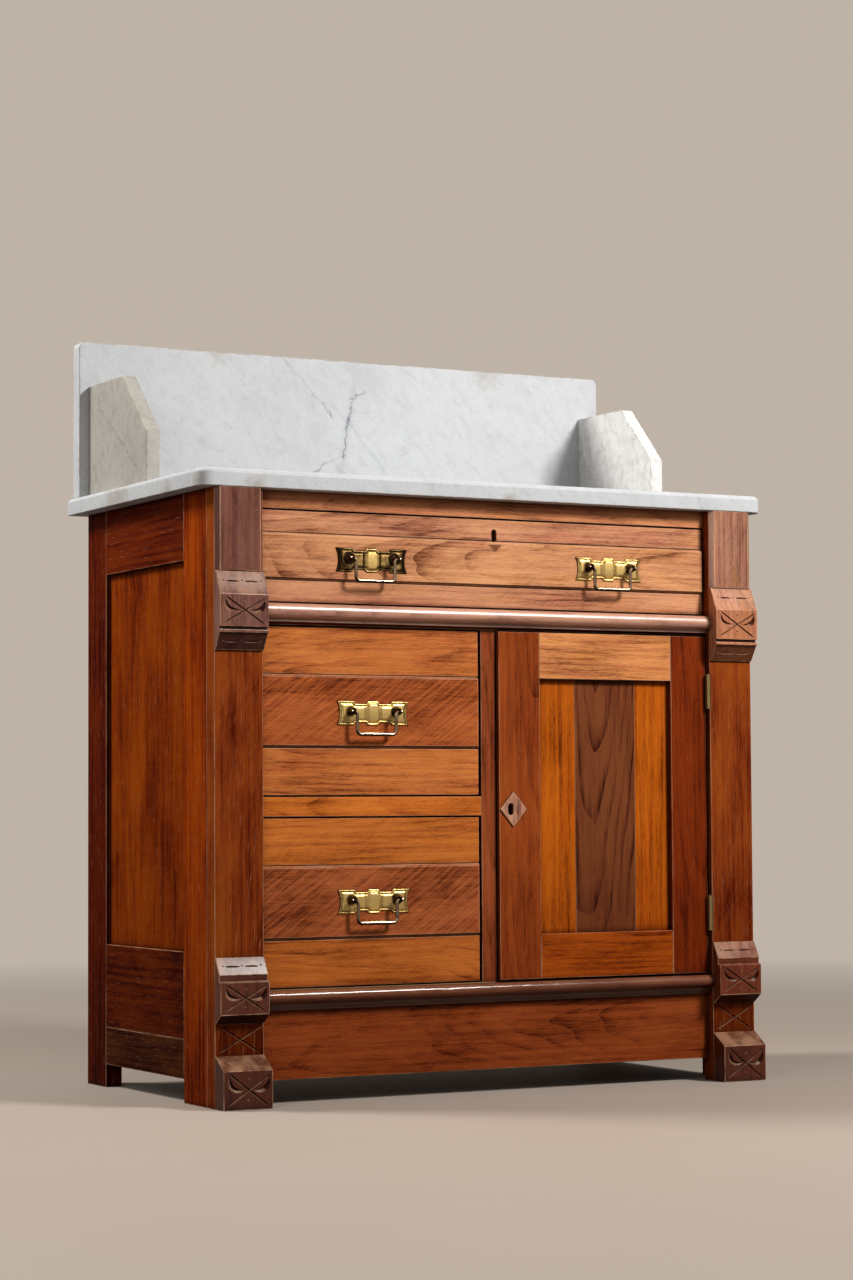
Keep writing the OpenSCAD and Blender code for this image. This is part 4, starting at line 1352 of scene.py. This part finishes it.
class WASHSTAND_OT_door(bpy.types.Operator):
    """Finishes the door: stiles, rails, its three boards and the worn lozenge escutcheon"""

    bl_idname = "washstand.door"
    bl_label = "Door"

    def execute(self, context):
        sizes = context.scene.washstand_sizes
        wide, fine = sizes.arris, sizes.fine_arris
        panels = ["walnut_panel", "walnut_heart", "walnut_panel"]
        panel_keys = ["amber_board", "dark_board", "amber_board"]
        stile_keys, rail_keys = ["lock_stile", "hinge_stile"], ["door_bottom", "door_top"]
        rows = (
            ("door_stiles", ["walnut_upright"], stile_keys, "walnut_frame", wide),
            ("door_rails", ["walnut_crosswise"], rail_keys, "walnut_frame", wide),
            ("door_boards", panels, panel_keys, "walnut_panels", fine),
            ("door_escutcheon", ["walnut_carved"], ["lozenge"], "escutcheon_wood", wide),
        )
        for seed, (node, kinds, keys, slot, width) in enumerate(rows):
            plain_board(node, kinds, keys, slot, width, 21 + seed)
        return {"FINISHED"}


# ---- Marble ----

# Veins: the middle, the normal of the vein's plane, its half width, its strength, and its reach.
SPLASH_VEINS = (
    ((-0.0045, 0.197, 0.8735), (0.98, 0.1, -0.18), 1.6 * MM, 1.0, 0.045),
    ((0.012, 0.197, 0.92), (-0.54, 0.1, 0.84), 1.4 * MM, 0.8, 0.016),
    ((-0.026, 0.197, 0.829), (-0.34, 0.1, 0.94), 1.2 * MM, 0.4, 0.018),
    ((-0.046, 0.197, 0.8175), (0.68, 0.1, -0.73), 1.7 * MM, 0.8, 0.015),
    ((-0.0345, 0.197, 0.898), (0.81, 0.2, 0.58), 2 * MM, 0.6, 0.015),
    ((-0.004, 0.197, 0.873), (0.98, 0.1, -0.18), 9 * MM, 0.22, 0.07),
    ((-0.069, 0.197, 0.934), (0.69, 0.2, 0.71), 2.5 * MM, 0.3, 0.05),
    ((0.027, 0.197, 0.85), (0.77, 0.2, 0.64), 3.5 * MM, 0.22, 0.05),
)
SLAB_VEINS = (((0.1, 0.0, 0.76), (0.7, 0.7, 0.1), 1.4 * MM, 0.4, 0.4),)
WING_VEINS = (((-0.385, 0.1, 0.83), (0.1, -0.6, 0.8), 1.2 * MM, 0.6, 0.09),)
# Spots: the middle, the radius, how soft the rim is, the strength, and the colour.
SPLASH_SPOTS = (
    ((0.03, 0.197, 0.945), 0.034, 0.03, 0.5, "marble_grey"),
    ((0.13, 0.197, 0.946), 3 * MM, 1.5 * MM, 0.8, "pit"),
    ((0.122, 0.197, 0.9215), 2.6 * MM, 1.5 * MM, 0.8, "pit"),
    ((-0.2, 0.197, 0.968), 0.022, 0.02, 0.4, "stain"),
    ((0.22, 0.197, 0.968), 0.03, 0.028, 0.35, "stain"),
)
SLAB_SPOTS = (
    ((0.02, -0.203, 0.738), 0.016, 0.012, 0.55, "stain"),
    ((-0.33, -0.2, 0.738), 0.02, 0.016, 0.5, "stain"),
    ((-0.405, -0.1, 0.739), 0.02, 0.016, 0.5, "stain"),
    ((-0.405, 0.06, 0.742), 0.05, 0.04, 0.45, "stain"),
    ((-0.402, -0.19, 0.745), 0.014, 0.012, 0.5, "stain"),
)
# Marble: (width of its arris, colour, cloud colour, veins, spots).
MARBLES = {
    "marble_slab": (1.2 * MM, "marble", "marble_grey", SLAB_VEINS, SLAB_SPOTS),
    "marble_splashback": (1.6 * MM, "marble", "marble_grey", SPLASH_VEINS, SPLASH_SPOTS),
    # The wings' colours paint light on the right wing and shade on the left one.
    "marble_left_wing": (1.4 * MM, "marble_warm", "marble_warm_grey", WING_VEINS, ()),
    "marble_right_wing": (1.4 * MM, "marble_pale", "marble_warm", (), ()),
}


class WASHSTAND_OT_marble(bpy.types.Operator):
    """Finishes the marble slab, splashback and wings"""

    bl_idname = "washstand.marble"
    bl_label = "Marble"

    def execute(self, context):
        for node, (width, key, grey, veins, spots) in MARBLES.items():
            mesh = welded(node)
            ease(mesh, width)
            stone = marble(f"polished_{node}", key, grey, veins, spots)
            settle(f"{node}_stone", mesh, [stone], body_of(node), "marble", node)
        return {"FINISHED"}


# ---- Pulls ----

# The frame's own sizes of a pull, in millimetres. The plate: its size, the hollow of its ends, the
# straight tip of its corners, and the step between its lobes.
PLATE_W, PLATE_H, PLATE_T = 98.0, 29.5, 1.2
PLATE_DIP, PLATE_TIP, LOBE_STEP = 3.3, 0.8, 3.2
# A stud's distance from the plate's middle, and its pivot's height over it and distance out.
STUD_X, PIVOT_UP, PIVOT_OUT = 31.0, 2.0, 10.0
EYE_Y = BAND_Y - PLATE_T - PIVOT_OUT
# Where the seams lie on both sides of the pillow, and how far apart the relief's points are.
SEAM_X, PITCH = 11.4, 0.5
# The bail: the wire's radius, its bends, its drop, and where its legs and its tips are.
BAIL_R, BAIL_BEND, BAIL_DROP, BAIL_LEG, BAIL_TIP = 2.2, 5.0, 28.0, 26.7, 34.8
# Pull: (plate's node, bail's node, middle x, middle z, how tarnished the plate is).
PULLS = (
    ("top_drawer_pull_plates", "top_left_bail", -169.0, 657.5, 0.68),
    ("top_drawer_pull_plates", "top_right_bail", 173.0, 657.5, 0.12),
    ("upper_drawer_pull_plate", "upper_drawer_bail", -168.0, 470.0, 0.08),
    ("lower_drawer_pull_plate", "lower_drawer_bail", -168.0, 240.5, 0.14),
)


def plate_outline():
    """The plate's stepped lobes and hollow ends, as (x, z) in millimetres about its middle."""
    a, h = PLATE_W / 2, PLATE_H / 2
    # Between its three lobes the plate is lower, with sloping shoulders.
    low = h - LOBE_STEP
    upper = [(-a + 22.5, h), (-a + 25, low), (-9.5, low), (-7, h)]
    upper += [(-x, z) for x, z in reversed(upper)]
    half = h - PLATE_TIP
    radius = (half * half + PLATE_DIP * PLATE_DIP) / (2 * PLATE_DIP)
    reach = math.asin(half / radius)
    middle = a - PLATE_DIP + radius
    end = []
    for i in range(13):
        turn = reach * (1 - i / 6)
        end.append((middle - radius * math.cos(turn), radius * math.sin(turn)))
    right = [(a, h), *end, (a, -h)]
    points = upper + right + [(x, -z) for x, z in reversed(upper)]
    return points + [(-x, -z) for x, z in right]


def edge_distance(x, z, outline):
    """How far a point lies inside an outline."""
    best = 1e9
    for (ax, az), (bx, bz) in lap(outline):
        dx, dz = bx - ax, bz - az
        t = max(0, min(1, ((x - ax) * dx + (z - az) * dz) / (dx * dx + dz * dz)))
        best = min(best, math.hypot(x - ax - dx * t, z - az - dz * t))
    return best


def inside(x, z, outline):
    """True where a point lies inside an outline."""
    hit = False
    for (ax, az), (bx, bz) in lap(outline):
        if (az > z) != (bz > z) and x < ax + (z - az) * (bx - ax) / (bz - az):
            hit = not hit
    return hit


def step(value, low, high):
    """0 below low, 1 above high, smooth between."""
    t = max(0, min(1, (value - low) / (high - low)))
    return t * t * (3 - 2 * t)


def plate_height(x, z, away, rim):
    """Height of the pressed plate's face over its back: a rounded rim, a groove, and a crowned
    field with a pillow in the middle."""
    edge = 0.5 + 0.9 * step(away, 0, 0.7)
    groove = 0.75 * step(away, rim, rim + 0.7)
    field = step(away, rim + 0.7, rim + 3.4)
    crown = 1.3 * field * (1 - 0.5 * (z / (PLATE_H / 2)) ** 2)
    pillow = 1.5 * (1 - step(abs(x), 5.0, 11.0)) * field
    seam = -0.5 * math.exp(-(((abs(x) - SEAM_X) / 0.9) ** 2)) * field
    return edge - groove + crown + pillow + seam


def relief(rim):
    """The plate's face, as points (x, z, height, hollow) and triangles. The outline comes first."""
    outline = plate_outline()
    points = [Vector(p) for p in outline]
    for i in range(int(PLATE_W / PITCH) + 1):
        for j in range(int(PLATE_H / PITCH) + 1):
            x = -PLATE_W / 2 + i * PITCH + (0.5 * PITCH if j % 2 else 0)
            z = -PLATE_H / 2 + j * PITCH
            if inside(x, z, outline) and edge_distance(x, z, outline) > 0.3:
                points.append(Vector((x, z)))
    ring = list(range(len(outline)))
    made, _, triangles, _, _, _ = delaunay_2d_cdt(points, [], [ring], 1, 1e-6)
    rows = []
    for p in made:
        away = edge_distance(p.x, p.y, outline)
        # Tarnish lies in the groove inside the rim, at the plate's edge, round the studs, in the
        # seams and towards the ends.
        stud = math.hypot(abs(p.x) - STUD_X, p.y - PIVOT_UP)
        hollow = max(
            math.exp(-(((away - rim - 0.7) / 0.7) ** 2)),
            1.2 * (1 - step(away, 0.1, 0.8)),
            1.0 - step(stud, 5.5, 9.5),
            0.7 * math.exp(-(((abs(p.x) - SEAM_X) / 0.8) ** 2)),
            0.7 * step(abs(p.x), 36, 48),
        )
        bright = 1 - step(abs(p.x), 7, 10)
        rows.append((p.x, p.y, plate_height(p.x, p.y, away, rim), hollow - 0.5 * bright))
    return rows, triangles


# A stud's distance out from the plate's plane and its radius there: collar, cove, neck, and the
# swelling into the eye.
STUD = [(0.4, 5.0), (1.9, 5.0), (2.5, 4.6), (2.9, 3.4), (3.6, 2.5), (4.6, 2.2), (6.0, 2.4)]
STUD += [(7.2, 2.9), (8.0, 2.4)]
# The eye: its bore clears the wire, its outer radius, and half its thickness.
EYE_BORE, EYE_R, EYE_HALF = BAIL_R + 0.12, 4.2, 1.8


def turned_stud(mesh, x, z, mark):
    """A turned stud with its eye, closed, on the plate at (x, z) millimetres."""
    before = set(mesh.verts)
    rings = [
        [
            mesh.verts.new(((x + radius * cos) * MM, (BAND_Y - out) * MM, (z + radius * sin) * MM))
            for cos, sin in turns(24)
        ]
        for out, radius in STUD
    ]
    pivot = Vector((x, EYE_Y, z))
    tube = []
    for cos, sin in turns(28):
        out = Vector((0, cos, sin))
        ring = []
        for around, aside in turns(12):
            reach = (EYE_BORE + EYE_R) / 2 + (EYE_R - EYE_BORE) / 2 * around
            at = pivot + out * reach + Vector((EYE_HALF * aside, 0, 0))
            ring.append(mesh.verts.new(at * MM))
        tube.append(ring)
    for low, high in (*zip(rings, rings[1:]), *lap(tube)):
        for (a, b), (c, d) in zip(lap(low), lap(high)):
            mesh.faces.new((a, b, d, c))
    mesh.faces.new(rings[0])
    mesh.faces.new(list(reversed(rings[-1])))
    for vert in set(mesh.verts) - before:
        vert[mark] = 1.0


def bail_tree(material):
    """A wire of round section along a path, thicker towards the middle of its grip."""
    tree, given = new_tree("bail wire", "Radius", "Swell", "Bend", "Middle X", "Half Grip")
    path = add(tree, "GeometryNodeMeshToCurve", {"Mesh": given["Geometry"]})[0]
    bent = {"Curve": path, "Radius": given["Bend"], "Count": 8, "Limit Radius": True}
    path = add(tree, "GeometryNodeFilletCurve", bent, mode="POLY")[0]
    fine = {"Curve": path, "Length": 1.2 * MM}
    path = add(tree, "GeometryNodeResampleCurve", fine, mode="LENGTH")[0]
    place = add(tree, "GeometryNodeInputPosition")[0]
    x = add(tree, "ShaderNodeSeparateXYZ", {0: place})["X"]
    away = through(tree, MATHS, x, ("SUBTRACT", given["Middle X"]), ("ABSOLUTE",))
    grip = {"Value": away, "From Min": 0.0, "From Max": given["Half Grip"]}
    grip |= {"To Min": given["Swell"], "To Max": 1.0}
    swell = add(tree, "ShaderNodeMapRange", grip, interpolation_type="SMOOTHSTEP")[0]
    size = through(tree, MATHS, swell, ("MULTIPLY", given["Radius"]))
    path = add(tree, "GeometryNodeSetCurveRadius", {"Curve": path, "Radius": size})[0]
    circle = add(tree, "GeometryNodeCurvePrimitiveCircle", {"Resolution": 16, "Radius": 1.0})[0]
    sweep = {"Curve": path, "Profile Curve": circle, "Fill Caps": True, "Scale": size}
    wire = add(tree, "GeometryNodeCurveToMesh", sweep)[0]
    # The wire gets a painted highlight where it looks up, and painted shade in black tarnish
    # beneath.
    normal = add(tree, "GeometryNodeInputNormal")[0]
    upward = add(tree, "ShaderNodeSeparateXYZ", {0: normal})["Z"]
    tarnish_and_painted_light = summed(tree, 0.0, (upward, -0.3, 0.6, 1.05, -0.2))
    stored = {"Geometry": wire, "Name": "tarnish_here", "Value": tarnish_and_painted_light}
    kind = {"data_type": "FLOAT", "domain": "POINT"}
    wire = add(tree, "GeometryNodeStoreNamedAttribute", stored, **kind)[0]
    return close_tree(tree, wire, material)


class WASHSTAND_OT_pulls(bpy.types.Operator):
    """Presses the brass plates, turns their studs and bends the bails"""

    bl_idname = "washstand.pulls"
    bl_label = "Pulls"

    def execute(self, context):
        sizes = context.scene.washstand_sizes
        brass = metal("tarnished_brass", "brass", 0.3, 0.3)
        bronze = metal("dark_bronze", "bronze", 0.2, 0.25)
        wire = bail_tree(bronze)
        points, triangles = relief(sizes.rim_w / MM)
        outline = plate_outline()
        plates = {}
        for node, bail, x, z, tarnished in PULLS:
            mesh = plates.get(node)
            if mesh is None:
                mesh = plates[node] = bmesh.new()
                mesh.verts.layers.float.new("tarnish_here")
            self.press(mesh, points, triangles, outline, x, z, tarnished)
            self.bend(wire, bail, x, z)
        for node, mesh in plates.items():
            bmesh.ops.recalc_face_normals(mesh, faces=mesh.faces)
            settle(f"{node}_brass", mesh, [brass], body_of(node), "brass", node)
        return {"FINISHED"}

    def press(self, mesh, points, triangles, outline, x, z, tarnished):
        """One plate with its two studs."""
        mark = mesh.verts.layers.float["tarnish_here"]
        face, back = [], []
        for px, pz, height, hollow in points:
            vert = mesh.verts.new(((x + px) * MM, (BAND_Y - height) * MM, (z + pz) * MM))
            vert[mark] = tarnished + 0.75 * hollow
            face.append(vert)
        for triangle in triangles:
            mesh.faces.new([face[i] for i in triangle])
        for px, pz in outline:
            vert = mesh.verts.new(((x + px) * MM, BAND_Y * MM, (z + pz) * MM))
            vert[mark] = 1.0
            back.append(vert)
        for (a, b), (c, d) in zip(lap(face[: len(outline)]), lap(back)):
            mesh.faces.new((a, c, d, b))
        mesh.faces.new(back)
        for side in (-1, 1):
            turned_stud(mesh, x + side * STUD_X, z + PIVOT_UP, mark)

    def bend(self, wire, node, x, z):
        """One bail, hung in its two eyes."""
        top = z + PIVOT_UP
        low = top - BAIL_DROP
        half = [(BAIL_TIP, top), (BAIL_LEG, top), (BAIL_LEG, low)]
        path = [(x - out, EYE_Y, up) for out, up in half]
        path += [(x + out, EYE_Y, up) for out, up in reversed(half)]
        values = {
            "Radius": BAIL_R * MM,
            "Swell": 1.08,
            "Bend": BAIL_BEND * MM,
            "Middle X": x * MM,
            "Half Grip": 24 * MM,
        }
        points, edges = [Vector(p) * MM for p in path], [(i, i + 1) for i in range(len(path) - 1)]
        thing = grown(f"{node}_wire", points, edges, wire, values)
        placed(thing, body_of(node), "bail_brass", node)


# ---- Hinges and locks ----


class WASHSTAND_OT_ironwork(bpy.types.Operator):
    """Finishes the hinges, the locks and their bolts"""

    bl_idname = "washstand.ironwork"
    bl_label = "Hinges and locks"

    def execute(self, context):
        iron = metal("worn_iron", "iron", 0.4, 0.35)
        for node in (
            "door_hinge_leaves",
            "post_hinge_leaves",
            "door_lock",
            "top_drawer_lock",
            "door_bolt",
            "top_drawer_bolt",
        ):
            mesh = welded(node)
            ease(mesh, 0.25 * MM)
            settle(f"{node}_metal", mesh, [iron], body_of(node), "lock_iron", node)
        return {"FINISHED"}


# ---- Stage ----

FLOOR_PATTERNS = {"cloud": ((0.5, 0.5, 0.5), (0, 0, 0), 4, 0.6, (0, 0, 0))}


def shown(tree):
    """1 for what the camera sees, and less for what gloss sees, so that dark varnish stays deep."""
    path = add(tree, "ShaderNodeLightPath")
    seen = path["Is Camera Ray"]
    for ray, share in (("Is Glossy Ray", 0.5), ("Is Transmission Ray", 1.0)):
        parts = {0: path[ray], 1: share, 2: seen}
        seen = add(tree, MATHS, parts, operation="MULTIPLY_ADD", use_clamp=True)[0]
    return seen


# Lamp: (name, place, what it points at, size, the setting with its power, colour).
LAMPS = (
    ("main lamp", (1.2, -2.0, 2.2), (0, 0, 0.5), 0.7, "key_power", (1, 0.985, 0.96)),
    ("left lamp", (-1.7, 1.0, 2.5), (-0.38, 0, 0.45), 0.8, "left_power", (1, 0.98, 0.95)),
    ("fill lamp", (-2.2, -1.9, 1.3), (0, 0, 0.5), 1.2, "fill_power", (1, 0.98, 0.95)),
)
# The floor's radius, and how far the camera sees, in metres.
FLOOR_R, CAMERA_SEES = 14, 100
# The floor begins to fade into the background at the first distance, and is gone at the second.
FADE = (0.9, 3.2)


class WASHSTAND_OT_stage(bpy.types.Operator):
    """Lays the floor, hangs the lamps and stands the camera"""

    bl_idname = "washstand.stage"
    bl_label = "Floor, lamps and camera"

    def execute(self, context):
        stage = context.scene.washstand_stage
        self.floor()
        self.world(stage.world_level)
        for name, at, towards, size, power, tone in LAMPS:
            self.lamp(name, at, towards, size, getattr(stage, power), tone)
        self.camera(context.scene, stage)
        return {"FINISHED"}

    def floor(self):
        """A plain pale floor that fades into the background far off."""
        mesh = bmesh.new()
        bmesh.ops.create_circle(mesh, cap_ends=True, segments=96, radius=FLOOR_R)
        data = bpy.data.meshes.new("floor")
        mesh.to_mesh(data)
        mesh.free()
        material, tree, shader = new_material("pale_floor")
        coords = add(tree, "ShaderNodeTexCoord")["Object"]
        cloud = patterns(tree, coords, FLOOR_PATTERNS)["cloud"]["Fac"]
        tone = summed(tree, 0.0, (cloud, 0.3, 0.7, 0, 0.08))
        near = painted(tree, colour("floor"), (tone, (0.5, 0.49, 0.47, 1)))
        # It throws little light back, so that the shadows under the case and its mouldings stay
        # deep.
        near = painted(tree, colour("floor_bounce"), (shown(tree), near))
        feed(tree, shader, {"Base Color": near, "Roughness": 0.7})
        away = through(tree, VECTORS, coords, ("LENGTH",))
        glow = {"Color": colour("backdrop"), "Strength": 1.0}
        glow = add(tree, "ShaderNodeEmission", glow)[0]
        seen = add(tree, "ShaderNodeLightPath")["Is Camera Ray"]
        far = through(tree, MATHS, summed(tree, 0.0, (away, *FADE, 0, 1)), ("MULTIPLY", seen))
        surface = add(tree, "ShaderNodeMixShader", {0: far, 1: shader.outputs[0], 2: glow})[0]
        out = next(n for n in tree.nodes if n.type == "OUTPUT_MATERIAL")
        feed(tree, out, {"Surface": surface})
        data.materials.append(material)
        thing = stood("floor", data)

    def world(self, level):
        """Even light from all round. The camera and the gloss see it as the pale background."""
        world = bpy.data.worlds.new("pale studio")
        world.use_nodes = True
        tree = world.node_tree
        tree.nodes.clear()
        even, pale = (
            add(tree, "ShaderNodeBackground", {"Color": tone, "Strength": strength})[0]
            for tone, strength in (((1, 1, 1, 1), level), (colour("backdrop"), 1.0))
        )
        mixed = add(tree, "ShaderNodeMixShader", {0: shown(tree), 1: even, 2: pale})[0]
        add(tree, "ShaderNodeOutputWorld", {"Surface": mixed})
        bpy.context.scene.world = world

    def lamp(self, name, at, towards, size, power, tone):
        """A large soft lamp."""
        data = bpy.data.lights.new(name, "AREA")
        data.shape = "DISK"
        data.size = size
        data.energy = power
        data.color = tone
        thing = stood(name, data)
        turn = (Vector(towards) - Vector(at)).to_track_quat("-Z", "Y")
        thing.matrix_world = Matrix.Translation(at) @ turn.to_matrix().to_4x4()
        thing.visible_camera = False

    def camera(self, scene, stage):
        """The camera at the photograph's place."""
        data = bpy.data.cameras.new("camera")
        data.sensor_fit = "VERTICAL"
        data.sensor_height = 36
        data.lens = stage.lens
        data.clip_end = CAMERA_SEES
        thing = stood("camera", data)
        turn = (
            Matrix.Rotation(-stage.camera_yaw, 3, "Z")
            @ Matrix.Rotation(math.pi / 2 + stage.camera_pitch, 3, "X")
            @ Matrix.Rotation(stage.camera_roll, 3, "Z")
        )
        thing.matrix_world = Matrix.Translation(stage.camera_at) @ turn.to_4x4()
        scene.camera = thing


# ---- The panel, and running ----

OPERATORS = (
    WASHSTAND_OT_marble,
    WASHSTAND_OT_case,
    WASHSTAND_OT_carved_posts,
    WASHSTAND_OT_mouldings,
    WASHSTAND_OT_drawers,
    WASHSTAND_OT_door,
    WASHSTAND_OT_pulls,
    WASHSTAND_OT_ironwork,
    WASHSTAND_OT_stage,
)


class WASHSTAND_PT_build(bpy.types.Panel):
    """Lists the steps that build the washstand, and what may be changed"""

    bl_idname = "WASHSTAND_PT_build"
    bl_label = "Washstand"
    bl_space_type = "VIEW_3D"
    bl_region_type = "UI"
    bl_category = "Washstand"

    def draw(self, context):
        layout = self.layout
        for step_class in OPERATORS:
            layout.operator(step_class.bl_idname)
        for group in ("washstand_sizes", "washstand_stage", "washstand_colours"):
            box = layout.box()
            owner = getattr(context.scene, group)
            for key in owner.__annotations__:
                box.prop(owner, key)


CLASSES = (WashstandColours, WashstandSizes, WashstandStage, *OPERATORS, WASHSTAND_PT_build)


def register():
    for item in CLASSES:
        bpy.utils.register_class(item)
    bpy.types.Scene.washstand_colours = PointerProperty(type=WashstandColours)
    bpy.types.Scene.washstand_sizes = PointerProperty(type=WashstandSizes)
    bpy.types.Scene.washstand_stage = PointerProperty(type=WashstandStage)


def unregister():
    del bpy.types.Scene.washstand_colours
    del bpy.types.Scene.washstand_sizes
    del bpy.types.Scene.washstand_stage
    for item in reversed(CLASSES):
        bpy.utils.unregister_class(item)


def main():
    """Builds every piece and the stage."""
    register()
    for step_class in OPERATORS:
        group, name = step_class.bl_idname.split(".")
        getattr(getattr(bpy.ops, group), name)()
    scene = bpy.context.scene
    scene.view_settings.view_transform = "Standard"


if __name__ == "__main__":
    main()
